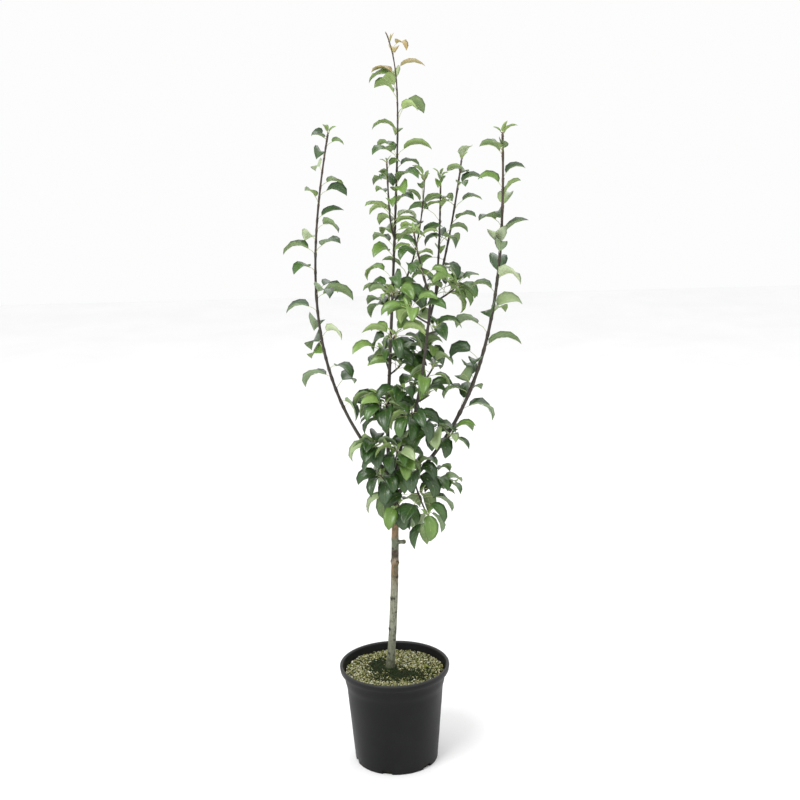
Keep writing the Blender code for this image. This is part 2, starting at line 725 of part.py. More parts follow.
def body_volume(faces):
    """Signed volume inside a closed set of triangles."""
    volume = 0.0
    for face in faces:
        a, b, c = (vert.co for vert in face.verts)
        volume += a.dot(b.cross(c)) / 6.0
    return volume


def tree_of(points, faces):
    """Search tree of a closed shape's faces."""
    return BVHTree.FromPolygons(points, faces)


def leaf_trees(leaf, extra):
    """Search trees of a leaf, fatter by extra, and of its blade alone."""
    points, faces = leaf.solid(extra)
    return tree_of(points, faces), tree_of(points, faces[STALK_FACES:])


class Crown:
    """Keeps what stands in the crown, so that no leaf runs into anything else."""

    def __init__(self, limbs, masses):
        self.limbs = {limb.name: tree_of(*tube_solid(limb)) for limb in limbs}
        self.stems = {mass.stem.name: tree_of(*tube_solid(mass.stem)) for mass in masses}
        self.leaves = {name: [] for name in self.stems}

    def place(self, mass):
        """Leaves of one mass that are clear of every limb, stem and leaf."""
        name = mass.stem.name
        kept = []
        for index in range(mass.count):
            for attempt in range(LEAF_TRIES):
                leaf = mass.leaf(index, attempt)
                if self.is_clear(name, *leaf_trees(leaf, LEAF_CLEARANCE)):
                    self.leaves[name].append(leaf_trees(leaf, 0.0))
                    kept.append(leaf)
                    break
        return kept

    def is_clear(self, name, whole, blade):
        """Whether a leaf touches nothing but its own stem's wood and stalks."""
        others = list(self.limbs.values())
        others += [tree for stem, tree in self.stems.items() if stem != name]
        for stem, leaves in self.leaves.items():
            if stem != name:
                others += [tree for tree, _ in leaves]
        if any(whole.overlap(tree) for tree in others):
            return False
        if blade.overlap(self.stems[name]):
            return False
        own = self.leaves[name]
        return not any(blade.overlap(tree) or whole.overlap(other) for tree, other in own)


def closed_volume(mesh):
    """Volume inside a mesh of triangles, or nothing where the mesh is open."""
    bm = bmesh.new()
    bm.from_mesh(mesh)
    closed = all(edge.is_manifold for edge in bm.edges)
    volume = body_volume(bm.faces) if closed else 0.0
    bm.free()
    return volume


def fuse_leaves(mass, leaves, bark, green, solver):
    """Fuse leaves to their stem in one union, or give nothing where a leaf is lost."""
    stem = build_stem(mass.stem, mass.carriers, bark)
    sound_volume = closed_volume(stem.data)
    group = bpy.data.collections.new(mass.stem.name + "_leaves")
    bpy.context.scene.collection.children.link(group)
    for leaf in leaves:
        points, faces = leaf.solid()
        mesh = mesh_from("leaf", points, faces)
        mesh.materials.append(green)
        sound_volume += SOUND_UNION_SHARE * closed_volume(mesh)
        group.objects.link(bpy.data.objects.new("leaf", mesh))
    apply_boolean(stem, "UNION", collection=group, solver=solver)
    for piece in list(group.objects):
        discard(piece)
    bpy.data.collections.remove(group)
    keep_largest_body(stem.data)
    if closed_volume(stem.data) > sound_volume:
        return stem
    discard(stem)
    return None


def build_mass(mass, leaves, bark, green):
    """Build a leafy mass, leaf by leaf where one union of them all fails."""
    for solver in ("EXACT", "MANIFOLD"):
        stem = fuse_leaves(mass, leaves, bark, green, solver)
        if stem is not None:
            return stem
    stem = build_stem(mass.stem, mass.carriers, bark)
    fused = []
    for leaf in leaves:
        for solver in ("EXACT", "MANIFOLD"):
            fuller = fuse_leaves(mass, fused + [leaf], bark, green, solver)
            if fuller is not None:
                discard(stem)
                stem = fuller
                fused.append(leaf)
                break
    stem.name = mass.stem.name
    stem.data.name = mass.stem.name
    return stem


def main():
    """Build the pot, the soil, the wood and the leafy masses."""
    clear_scene()
    build_pot()
    build_soil()
    for limb, carriers in LIMBS:
        build_stem(limb, carriers, principled(limb.name + "_bark", BARK, 0.85))
    crown = Crown([limb for limb, _ in LIMBS], MASSES)
    placed = [crown.place(mass) for mass in MASSES]
    for mass, leaves in zip(MASSES, placed):
        name = mass.stem.name
        bark = principled(name + "_bark", YOUNG_BARK, 0.75)
        green = principled(name + "_green", LEAF_GREEN, 0.50)
        build_mass(mass, leaves, bark, green)


if __name__ == "__main__":
    main()
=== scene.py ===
"""Looks of a young pear tree in a round nursery pot, for Blender 4.5.

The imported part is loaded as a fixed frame, and each piece made here stands
for one or more of its nodes.  Units are metres and +Z is up.  The pot's flat
underside stands on the floor at the origin, and the viewer looks along +Y.
"""

from __future__ import annotations

import json
import logging
import math
import random
from collections.abc import Iterable
from dataclasses import dataclass, field, replace
from enum import Enum

import bpy
import numpy as np
from mathutils import Matrix, Vector, noise
from mathutils.bvhtree import BVHTree

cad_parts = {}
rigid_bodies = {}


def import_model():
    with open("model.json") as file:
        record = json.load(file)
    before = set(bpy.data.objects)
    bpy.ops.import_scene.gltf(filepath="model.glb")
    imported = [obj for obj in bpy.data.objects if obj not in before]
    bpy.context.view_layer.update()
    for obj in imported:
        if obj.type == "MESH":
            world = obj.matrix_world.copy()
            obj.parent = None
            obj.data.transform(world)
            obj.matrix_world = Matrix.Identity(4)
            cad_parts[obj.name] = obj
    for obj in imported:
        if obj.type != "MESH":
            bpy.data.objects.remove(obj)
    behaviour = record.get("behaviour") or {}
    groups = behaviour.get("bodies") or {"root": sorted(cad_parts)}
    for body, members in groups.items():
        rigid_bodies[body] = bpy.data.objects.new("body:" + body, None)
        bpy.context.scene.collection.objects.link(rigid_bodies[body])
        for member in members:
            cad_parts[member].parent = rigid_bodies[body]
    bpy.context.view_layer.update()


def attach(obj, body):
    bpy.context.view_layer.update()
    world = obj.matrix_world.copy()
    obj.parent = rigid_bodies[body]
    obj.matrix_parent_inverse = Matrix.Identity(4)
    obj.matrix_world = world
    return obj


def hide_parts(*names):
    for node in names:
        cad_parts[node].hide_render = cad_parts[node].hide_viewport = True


LOG = logging.getLogger("pear_tree")

Colour = tuple[float, float, float]
Solid = tuple[list[Vector], list[tuple[int, ...]]]
Socket = bpy.types.NodeSocket
Material = bpy.types.Material
Object = bpy.types.Object

BODY = "root"

# Clearances that the part keeps, which decide the leaves that find room.
GAP = 0.0003
LEAF_CLEARANCE = 0.0005
GRAZE_CLEARANCE = -0.0006

# Leaf rule, the same as the part's.
GOLDEN_ANGLE = 137.5
FOLD_DEGREES = 26.0
BLADE_DROP_DEGREES = 8.0
BLADE_FOOT_SHARE = 0.12
BLADE_STATIONS = ((0.30, 0.96), (0.68, 0.80))
LEAF_THICKNESS = 0.0013
STALK_HALF_WIDTH = 0.0010
STALK_FACES = 7
SHIFT_SPREAD = 0.6
TURN_SPREAD = 60.0
SIZE_SPREAD = 0.18
RISE_SPREAD = 18.0
ARCH_SPREAD = 32.0
ROLL_SPREAD = 42.0
STALK_SPREAD = 0.35
WIDTH_SPREAD = 0.12
LEAF_TRIES = 5

SOIL_TOP_HEIGHT = 0.2096
STATION_STEP = 0.002


def srgb(red: float, green: float, blue: float) -> Colour:
    """Turn a colour seen on a screen, 0 to 255 each, into scene light.

    Args:
        red: Red as shown.
        green: Green as shown.
        blue: Blue as shown.

    Returns:
        The same colour as linear light, 0 to 1 each.
    """
    shares = (red / 255.0, green / 255.0, blue / 255.0)
    return tuple(s / 12.92 if s <= 0.04045 else ((s + 0.055) / 1.055) ** 2.4 for s in shares)


@dataclass(frozen=True)
class Limb:
    """A tapering stem that leaves its foot, swings out and turns upright."""

    name: str
    foot: tuple[float, float, float]
    rise: float
    reach: float
    heading: float
    turn_up: float
    lean: tuple[float, float] = (0.0, 0.0)
    foot_radius: float = 0.0020
    tip_radius: float = 0.0012
    flare: float = 0.0
    flare_height: float = 0.020
    start: float = 0.0
    end: float = 1.0
    sides: int = 4
    rings: int = 4
    flat_foot: bool = False

    def point(self, t: float) -> Vector:
        """Centre of the stem at t, from 0 at the foot to 1 at the tip.

        Args:
            t: Station along the stem.

        Returns:
            The centre there.
        """
        swing = self.reach * (1.0 - math.exp(-self.turn_up * t)) / (1.0 - math.exp(-self.turn_up))
        angle = math.radians(self.heading)
        x = self.foot[0] + swing * math.cos(angle) + self.lean[0] * t
        y = self.foot[1] + swing * math.sin(angle) + self.lean[1] * t
        return Vector((x, y, self.foot[2] + self.rise * t))

    def radius(self, t: float) -> float:
        """Radius at t: an even taper, with a flare that fades above the foot."""
        taper = self.foot_radius + (self.tip_radius - self.foot_radius) * t
        return taper + self.flare * math.exp(-abs(self.rise) * t / self.flare_height)

    def tangent(self, t: float) -> Vector:
        """Direction of growth at t."""
        return (self.point(t + STATION_STEP) - self.point(t - STATION_STEP)).normalized()

    def speed(self, t: float) -> float:
        """Metres of stem for each unit of t."""
        return (self.point(t + STATION_STEP) - self.point(t - STATION_STEP)).length / (2.0 * STATION_STEP)

    def at_height(self, height: float) -> tuple[float, float, float]:
        """Centre of the stem at a height above the pot's underside."""
        return tuple(self.point((height - self.foot[2]) / self.rise))

    def rings_at(self, stations: list[float]) -> list[tuple[Vector, Vector, Vector]]:
        """Centre and two cross directions at each station, carried along without twist.

        Args:
            stations: Values of t, rising from the foot to the tip.

        Returns:
            One centre, side and front for each station.
        """
        rings = []
        side = None
        for t in stations:
            along = self.tangent(t)
            if t == stations[0] and self.flat_foot:
                along = Vector((0.0, 0.0, 1.0))
            if side is None:
                side = Vector((1.0, 0.0, 0.0)) if abs(along.x) < 0.8 else Vector((0.0, 1.0, 0.0))
            side = (side - along * side.dot(along)).normalized()
            rings.append((self.point(t), side.copy(), along.cross(side)))
        return rings


@dataclass(frozen=True)
class Leaf:
    """One leaf: a stalk from its root, and a folded blade that arches over."""

    root: Vector
    station: float
    azimuth: float
    rise: float
    arch: float
    roll: float
    stalk: float
    length: float
    width: float

    def frame(self, angle: float) -> tuple[Vector, Vector, Vector]:
        """Growth, side and upper face where the leaf points up by an angle.

        Args:
            angle: Angle above level, in radians.

        Returns:
            The direction of growth, the side and the upper face.
        """
        outward = Vector((math.cos(self.azimuth), math.sin(self.azimuth), 0.0))
        across = Vector((-math.sin(self.azimuth), math.cos(self.azimuth), 0.0))
        upward = Vector((0.0, 0.0, 1.0))
        along = math.cos(angle) * outward + math.sin(angle) * upward
        normal = math.cos(angle) * upward - math.sin(angle) * outward
        side = math.cos(self.roll) * across + math.sin(self.roll) * normal
        face = math.cos(self.roll) * normal - math.sin(self.roll) * across
        return along, side, face

    def midrib(self, u: float) -> tuple[Vector, float]:
        """Point of the midrib and its angle, from the blade's foot at 0 to its tip at 1.

        Args:
            u: Place along the blade.

        Returns:
            The point, and the angle above level in radians.
        """
        start = self.rise - math.radians(BLADE_DROP_DEGREES)
        angle = start - self.arch * u
        outward = self.length * (math.sin(start) - math.sin(angle)) / self.arch
        upward = self.length * (math.cos(angle) - math.cos(start)) / self.arch
        base = self.root + self.stalk * self.frame(self.rise)[0]
        heading = Vector((math.cos(self.azimuth), math.sin(self.azimuth), 0.0))
        return base + outward * heading + Vector((0.0, 0.0, upward)), angle

    def stalk_ring(
        self, centre: Vector, angle: float, half_width: float, half_height: float
    ) -> list[Vector]:
        """Three corners round a point of the stalk, with the single one below.

        Args:
            centre: The point of the stalk.
            angle: Angle above level there, in radians.
            half_width: Half the stalk's width.
            half_height: Half its height.

        Returns:
            The three corners.
        """
        _, side, face = self.frame(angle)
        top = centre + face * half_height / 2.0
        return [top + side * half_width, top - side * half_width, centre - face * half_height]

    def moved(self, turn: float, lift: float) -> Leaf:
        """The same leaf, turned and lifted by degrees."""
        return replace(self, azimuth=self.azimuth + math.radians(turn), rise=self.rise + math.radians(lift))

    def stand_in(self, extra: float) -> Solid:
        """The part's plain leaf, made fatter all round by extra.

        Args:
            extra: How much fatter, in metres.

        Returns:
            Its points and triangles.
        """
        half = STALK_HALF_WIDTH + extra
        points = self.stalk_ring(self.root, self.rise, half, half)
        foot, angle = self.midrib(0.0)
        foot_half = max(0.5 * self.width * BLADE_FOOT_SHARE, STALK_HALF_WIDTH) + extra
        points += self.stalk_ring(foot, angle, foot_half, half)
        fold = math.radians(FOLD_DEGREES)
        for u, share in BLADE_STATIONS:
            rib, angle = self.midrib(u)
            _, side, face = self.frame(angle)
            half = 0.5 * self.width * share + extra
            lift = face * half * math.sin(fold)
            points += [rib + side * half * math.cos(fold) + lift, rib + face * extra]
            points += [rib - side * half * math.cos(fold) + lift, rib - face * (LEAF_THICKNESS + extra)]
        tip, angle = self.midrib(1.0)
        points.append(tip + self.frame(angle)[0] * extra)
        return points, LEAF_TRIANGLES


def leaf_triangles(stations: int) -> list[tuple[int, int, int]]:
    """Triangles of the part's plain leaf: a three-cornered stalk, then rings of four and a tip.

    Args:
        stations: How many rings of four the blade has.

    Returns:
        The triangles, by the numbers of their points.
    """
    faces = [(0, 1, 2)]
    for corner in range(3):
        after = (corner + 1) % 3
        faces += [(corner, 3 + corner, 3 + after), (corner, 3 + after, after)]
    foot_a, foot_b, foot_under, edge_a, top, edge_b, under = range(3, 10)
    faces += [(foot_a, edge_a, top), (foot_a, top, foot_b), (foot_b, top, edge_b)]
    faces += [(foot_b, edge_b, under), (foot_b, under, foot_under)]
    faces += [(foot_under, under, edge_a), (foot_under, edge_a, foot_a)]
    for station in range(stations - 1):
        edge_a, top, edge_b, under = (6 + 4 * station + corner for corner in range(4))
        next_a, next_top, next_b, next_under = (10 + 4 * station + corner for corner in range(4))
        faces += [(edge_a, next_top, top), (edge_a, next_a, next_top)]
        faces += [(edge_b, top, next_top), (edge_b, next_top, next_b)]
        faces += [(edge_b, next_under, under), (edge_b, next_b, next_under)]
        faces += [(edge_a, under, next_under), (edge_a, next_under, next_a)]
    last = 2 + 4 * stations
    tip = last + 4
    faces += [(last + corner, tip, last + (corner + 1) % 4) for corner in range(4)]
    return faces


LEAF_TRIANGLES = leaf_triangles(len(BLADE_STATIONS))


@dataclass(frozen=True)
class Foliage:
    """A leafy stem: leaves stand along it by a seeded spiral rule."""

    stem: Limb
    phase: float
    count: int
    seed: int
    first: float = 0.35
    last: float = 1.0
    rise: float = 35.0
    tip_rise: float = 45.0
    arch: float = 95.0
    tip_arch: float = 90.0
    length: float = 0.058
    width: float = 0.036
    stalk: float = 0.024
    tip_size: float = 0.85

    def leaf(self, index: int, attempt: int) -> Leaf:
        """Place and sizes of one leaf, from its own seeded draw.

        Args:
            index: Number of the leaf, counted up the stem.
            attempt: How often it found no room before.

        Returns:
            The leaf, where the spiral and its draw put it.
        """
        share = index / (self.count - 1)
        draw = random.Random(f"{self.seed} {index} {attempt}")
        stray = [draw.uniform(-1.0, 1.0) for _ in range(8)]
        along = min(1.0, max(0.0, share + SHIFT_SPREAD * stray[0] / self.count))
        young = 1.0 + (self.tip_size - 1.0) * share ** 3
        size = young * (1.0 + SIZE_SPREAD * stray[2])
        station = self.first + (self.last - self.first) * along
        return Leaf(
            root=self.stem.point(station),
            station=station,
            azimuth=math.radians(self.phase + GOLDEN_ANGLE * index + TURN_SPREAD * stray[1]),
            rise=math.radians(self.rise + (self.tip_rise - self.rise) * share + RISE_SPREAD * stray[3]),
            arch=math.radians(self.arch + (self.tip_arch - self.arch) * share + ARCH_SPREAD * stray[4]),
            roll=math.radians(ROLL_SPREAD * stray[5]),
            stalk=self.stalk * (1.0 + STALK_SPREAD * stray[6]) * young,
            length=self.length * size,
            width=self.width * size * (1.0 + WIDTH_SPREAD * stray[7]),
        )


TRUNK = Limb(
    "trunk", (-0.010, 0.0, SOIL_TOP_HEIGHT + GAP), rise=0.440, reach=0.057, heading=0.0, turn_up=0.76,
    lean=(-0.037, 0.0), foot_radius=0.0088, tip_radius=0.0070, flare=0.0024, flare_height=0.016,
    sides=10, rings=13, flat_foot=True,
)
LEADER = Limb(
    "leader", (0.010, 0.0, 0.650), rise=0.407, reach=0.019, heading=180.0, turn_up=12.0, lean=(0.025, 0.0),
    foot_radius=0.0041, tip_radius=0.0029, flare=0.0022, start=0.0008, sides=8, rings=13,
)
LEFT_BOUGH = Limb(
    "left_bough", (0.010, 0.0, 0.640), rise=0.720, reach=0.360, heading=168.0, turn_up=2.35,
    lean=(0.233, 0.0), foot_radius=0.0037, tip_radius=0.0018, flare=0.0012, end=0.196, sides=8, rings=8,
)
RIGHT_BOUGH = Limb(
    "right_bough", (0.0097, 0.0, 0.606), rise=0.756, reach=0.316, heading=-14.7, turn_up=2.6,
    lean=(-0.080, 0.0), foot_radius=0.0043, tip_radius=0.0020, flare=0.0012, end=0.235, sides=8, rings=9,
)
FRONT_BOUGH = Limb(
    "front_bough", (0.010, 0.0, 0.640), rise=0.407, reach=0.120, heading=-48.0, turn_up=1.4,
    foot_radius=0.0035, tip_radius=0.0026, flare=0.0010, sides=8, rings=10,
)
BACK_BOUGH = Limb(
    "back_bough", (0.010, 0.0, 0.644), rise=0.382, reach=0.070, heading=90.0, turn_up=2.5,
    lean=(0.096, 0.0), foot_radius=0.0034, tip_radius=0.0026, flare=0.0010, sides=8, rings=10,
)
LIMBS = [TRUNK, LEADER, LEFT_BOUGH, RIGHT_BOUGH, FRONT_BOUGH, BACK_BOUGH]


def continued(limb: Limb, name: str, rings: int) -> Limb:
    """The leafy rest of a bough, from just past the end of its bare part.

    Args:
        limb: The bough.
        name: Name of the leafy part.
        rings: Rings of the part's own solid.

    Returns:
        The stem that carries on.
    """
    start = limb.end + GAP / limb.speed(limb.end)
    return replace(limb, name=name, flare=0.0, start=start, end=1.0, sides=5, rings=rings)


def grown_on(
    limb: Limb, name: str, rise: float, reach: float, heading: float, turn_up: float, **sizes: object
) -> Limb:
    """A stem that carries on from a limb's tip, just clear of its end.

    Args:
        limb: The limb it carries on from.
        name: Name of the stem.
        rise: Height gained.
        reach: Distance swung out.
        heading: Direction of the swing, in degrees.
        turn_up: How soon it turns upright.
        sizes: Any other sizes of the stem.

    Returns:
        The new stem.
    """
    stem = Limb(name, tuple(limb.point(1.0)), rise, reach, heading, turn_up, **sizes)
    return replace(stem, start=GAP / stem.speed(0.0))


LEFT_SHOOT = continued(LEFT_BOUGH, "left_shoot", 14)
RIGHT_SHOOT = continued(RIGHT_BOUGH, "right_shoot", 14)
LEADER_SHOOT = grown_on(
    LEADER, "leader_shoot", rise=0.499, reach=0.031, heading=180.0, turn_up=-7.6, lean=(0.030, 0.0),
    foot_radius=0.0029, tip_radius=0.0010, sides=5, rings=14,
)
INNER_LEFT_SHOOT = Limb(
    "inner_left_shoot", LEADER_SHOOT.at_height(1.155), rise=0.152, reach=0.031, heading=-107.0, turn_up=5.5,
    lean=(-0.003, 0.0), foot_radius=0.0019, tip_radius=0.0015, sides=5, rings=8,
)
INNER_RIGHT_SHOOT = Limb(
    "inner_right_shoot", LEADER.at_height(1.017), rise=0.249, reach=0.078, heading=31.0, turn_up=2.5,
    lean=(0.006, 0.0), foot_radius=0.0021, tip_radius=0.0011, sides=5, rings=10,
)
FRONT_SHOOT = grown_on(
    FRONT_BOUGH, "front_shoot", rise=0.129, reach=0.014, heading=225.0, turn_up=3.0, lean=(-0.021, 0.0),
    foot_radius=0.0025, tip_radius=0.0014, sides=5, rings=6,
)
BACK_SHOOT = grown_on(
    BACK_BOUGH, "back_shoot", rise=0.241, reach=0.016, heading=38.0, turn_up=1.9, lean=(0.002, 0.0),
    foot_radius=0.0025, tip_radius=0.0015, sides=5, rings=9,
)
OUTER_SHOOT = Limb(
    "outer_shoot", BACK_BOUGH.at_height(0.994), rise=0.303, reach=0.095, heading=39.0, turn_up=0.67,
    lean=(-0.005, 0.0), foot_radius=0.0025, tip_radius=0.0018, sides=5, rings=11,
)


def spur(
    name: str, carrier: Limb, height: float, climb: float, reach: float, heading: float,
    turn_up: float = 0.6, **sizes: object,
) -> Foliage:
    """A short leafy twig that leaves a limb at a height.

    Args:
        name: Name of the twig.
        carrier: The limb it leaves.
        height: Height at which it leaves.
        climb: Height gained.
        reach: Distance swung out.
        heading: Direction of the swing, in degrees.
        turn_up: How soon it turns upright.
        sizes: Sizes of its leaves.

    Returns:
        The twig and the rule of its leaves.
    """
    stem = Limb(name, carrier.at_height(height), climb, reach, heading, turn_up)
    return Foliage(stem, **sizes)


MASSES = [
    Foliage(
        LEFT_SHOOT,
        phase=300.0, count=21, seed=239, first=0.215, last=0.99, rise=29.0,
        tip_rise=52.0, arch=107.0, tip_arch=69.0, length=0.063, width=0.038, tip_size=0.5,
    ),
    Foliage(
        RIGHT_SHOOT,
        phase=10.0, count=22, seed=210, first=0.25, last=0.99, rise=48.0,
        tip_rise=70.0, arch=105.0, tip_arch=81.0, length=0.063, width=0.038, tip_size=0.5,
    ),
    Foliage(
        LEADER_SHOOT,
        phase=325.0, count=24, seed=320, first=0.0, last=0.955, rise=50.0,
        tip_rise=56.0, arch=113.0, length=0.061, width=0.037, tip_size=0.72,
    ),
    Foliage(
        INNER_RIGHT_SHOOT,
        phase=355.0, count=13, seed=226, first=0.12, rise=48.0, tip_rise=60.0, arch=105.0,
        tip_arch=70.0, length=0.048, width=0.03, stalk=0.027, tip_size=0.7,
    ),
    Foliage(
        INNER_LEFT_SHOOT,
        phase=35.0, count=6, seed=196, first=0.12, last=0.98, rise=42.0, tip_rise=62.0, arch=105.0,
        tip_arch=87.0, length=0.045, width=0.028, tip_size=0.7,
    ),
    Foliage(
        FRONT_SHOOT,
        phase=60.0, count=7, seed=310, first=0.08, rise=47.0, tip_rise=62.0, arch=117.0,
        tip_arch=65.0, length=0.046, width=0.03, tip_size=0.7,
    ),
    Foliage(
        BACK_SHOOT,
        phase=225.0, count=10, seed=111, first=0.05, rise=47.0, tip_rise=57.0, arch=98.0,
        tip_arch=83.0, length=0.05, width=0.031, stalk=0.028, tip_size=0.7,
    ),
    Foliage(
        OUTER_SHOOT,
        phase=310.0, count=11, seed=283, first=0.1, rise=20.0, tip_rise=62.0, arch=105.0,
        tip_arch=74.0, length=0.054, width=0.033, tip_size=0.7,
    ),
    spur(
        "spur_leader_a", LEADER, height=1.03, climb=0.018, reach=0.045, heading=-86.0,
        phase=290.0, count=8, seed=102, tip_rise=46.0, arch=92.0,
    ),
    spur(
        "spur_front_left", FRONT_BOUGH, height=0.993, climb=0.033, reach=0.044, heading=-157.0,
        phase=165.0, count=6, seed=282, rise=28.0, tip_arch=94.0, stalk=0.027,
    ),
    spur(
        "spur_back_right", BACK_BOUGH, height=1.009, climb=0.037, reach=0.056, heading=-31.0,
        phase=40.0, count=9, seed=309, rise=37.0, tip_arch=79.0,
    ),
    spur(
        "spur_front_stub", FRONT_BOUGH, height=0.971, climb=0.001, reach=0.029, heading=45.0,
        phase=25.0, count=4, seed=50, tip_rise=27.0, arch=100.0, tip_arch=61.0,
    ),
    spur(
        "spur_leader_b", LEADER, height=0.942, climb=0.018, reach=0.05, heading=-82.0,
        phase=135.0, count=6, seed=211, rise=19.0, arch=92.0, tip_arch=74.0,
    ),
    spur(
        "spur_leader_c", LEADER, height=0.897, climb=0.024, reach=0.019, heading=-148.0,
        phase=60.0, count=6, seed=177, arch=103.0,
    ),
    spur(
        "spur_leader_d", LEADER, height=0.87, climb=0.012, reach=0.038, heading=53.0,
        phase=335.0, count=6, seed=232, tip_arch=92.0, stalk=0.021,
    ),
    spur(
        "spur_leader_e", LEADER, height=0.822, climb=0.017, reach=0.046, heading=-50.0,
        phase=25.0, count=5, seed=305, rise=31.0, arch=97.0, stalk=0.023,
    ),
    spur(
        "spur_leader_f", LEADER, height=0.818, climb=0.01, reach=0.024, heading=-155.0,
        phase=80.0, count=5, seed=103, rise=23.0, tip_rise=29.0, arch=117.0, tip_arch=78.0,
    ),
    spur(
        "spur_leader_g", LEADER, height=0.794, climb=0.024, reach=0.05, heading=-95.0,
        phase=260.0, count=6, seed=80, rise=33.0, tip_rise=24.0, stalk=0.023,
    ),
    spur(
        "spur_back_a", BACK_BOUGH, height=0.885, climb=0.027, reach=0.043, heading=-69.0,
        phase=190.0, count=6, seed=80, tip_rise=76.0, arch=80.0, tip_arch=99.0,
    ),
    spur(
        "spur_front_a", FRONT_BOUGH, height=0.86, climb=0.029, reach=0.043, heading=50.0,
        phase=305.0, count=5, seed=32, arch=96.0,
    ),
    spur(
        "spur_front_b", FRONT_BOUGH, height=0.824, climb=0.006, reach=0.034, heading=48.0,
        phase=350.0, count=5, seed=42, rise=44.0, tip_rise=64.0, arch=93.0, tip_arch=73.0,
    ),
    spur(
        "spur_front_c", FRONT_BOUGH, height=0.775, climb=0.03, reach=0.016, heading=-93.0,
        phase=325.0, count=7, seed=254, rise=20.0, tip_rise=26.0, arch=80.0,
    ),
    spur(
        "spur_right_in", RIGHT_BOUGH, height=0.721, climb=0.043, reach=0.019, heading=-143.0,
        phase=240.0, count=8, seed=298, rise=31.0, arch=114.0, tip_arch=96.0, stalk=0.018,
    ),
    spur(
        "spur_right_out", RIGHT_BOUGH, height=0.726, climb=0.021, reach=0.024, heading=-41.0,
        phase=260.0, count=4, seed=122, rise=37.0, tip_arch=94.0,
    ),
    spur(
        "spur_leader_left", LEADER, height=0.691, climb=0.023, reach=0.037, heading=-147.0,
        phase=325.0, count=10, seed=205, arch=125.0, tip_arch=97.0,
    ),
    spur(
        "spur_trunk_left", TRUNK, height=0.626, climb=0.031, reach=0.035, heading=-145.0,
        phase=315.0, count=10, seed=313, rise=20.0, tip_rise=30.0, arch=106.0, tip_arch=106.0,
        stalk=0.026,
    ),
    spur(
        "spur_front_low", LEADER, height=0.663, climb=0.057, reach=0.061, heading=-79.0,
        phase=245.0, count=11, seed=46, rise=20.0, tip_rise=31.0, tip_arch=80.0,
    ),
    spur(
        "spur_right_low", TRUNK, height=0.619, climb=0.061, reach=0.062, heading=-29.0,
        phase=30.0, count=8, seed=179, rise=20.0, tip_rise=47.0, tip_arch=111.0, stalk=0.02,
    ),
    spur(
        "twig_droop", RIGHT_BOUGH, height=0.649, climb=-0.072, reach=0.056, heading=-59.0, turn_up=-1.2,
        phase=0.0, count=12, seed=343, first=0.4, rise=0.0, tip_rise=-30.0, arch=83.0,
        tip_arch=50.0, stalk=0.029,
    ),
    spur(
        "twig_right", RIGHT_BOUGH, height=0.652, climb=-0.043, reach=0.08, heading=24.0,
        phase=345.0, count=8, seed=111, first=0.4, rise=25.0, tip_rise=42.0, tip_arch=91.0,
        length=0.046, width=0.03,
    ),
    spur(
        "twig_left_low", TRUNK, height=0.597, climb=0.003, reach=0.051, heading=-81.0,
        phase=140.0, count=6, seed=36, first=0.3, rise=10.0, tip_rise=0.0, arch=113.0,
        tip_arch=60.0,
    ),
    spur(
        "spur_back_high", LEADER, height=0.99, climb=0.027, reach=0.06, heading=94.0,
        phase=155.0, count=5, seed=187, tip_rise=73.0,
    ),
    spur(
        "spur_back_mid", LEADER, height=0.876, climb=0.03, reach=0.061, heading=100.0,
        phase=260.0, count=6, seed=130, rise=48.0,
    ),
    spur(
        "spur_back_low", LEADER, height=0.747, climb=0.023, reach=0.055, heading=93.0,
        phase=35.0, count=7, seed=156, arch=96.0,
    ),
    spur(
        "spur_fork_back", TRUNK, height=0.614, climb=0.032, reach=0.055, heading=86.0,
        phase=30.0, count=8, seed=111, rise=18.0, tip_rise=30.0, arch=106.0,
    ),
]


LEAFY_NODES = [mass.stem.name for mass in MASSES]
LEADER_MASS = next(mass for mass in MASSES if mass.stem is LEADER_SHOOT)

# Names of the leaves' own map and of the bark's darkness, and places of a mix node's colours.
LEAF_MAP = "leaf"
SCAR = "scar"
MIX_FIRST = 6
MIX_SECOND = 7
MIX_RESULT = 2


class Tone(Enum):
    """Leaf colours, by how young the leaf is and its place in the crown; the bluish tone stands for painted
    shade and sheen, and the pale tone in the lower crown for painted highlights.
    """

    DEEP = "deep"
    # Painted shade and sheen: a bluish tone for darker glossy leaves.
    SHADE = "shade"
    FULL = "full"
    OLIVE = "olive"
    FRESH = "fresh"
    # Pale leaves, and in the lower crown painted highlights.
    PALE = "pale"
    BRONZE = "bronze"


class Chip(Enum):
    """Kinds of bits on top of the soil."""

    STRAW = "straw"
    CREAM = "cream"
    OLIVE = "olive"
    HUMUS = "humus"
    MOSS = "moss"


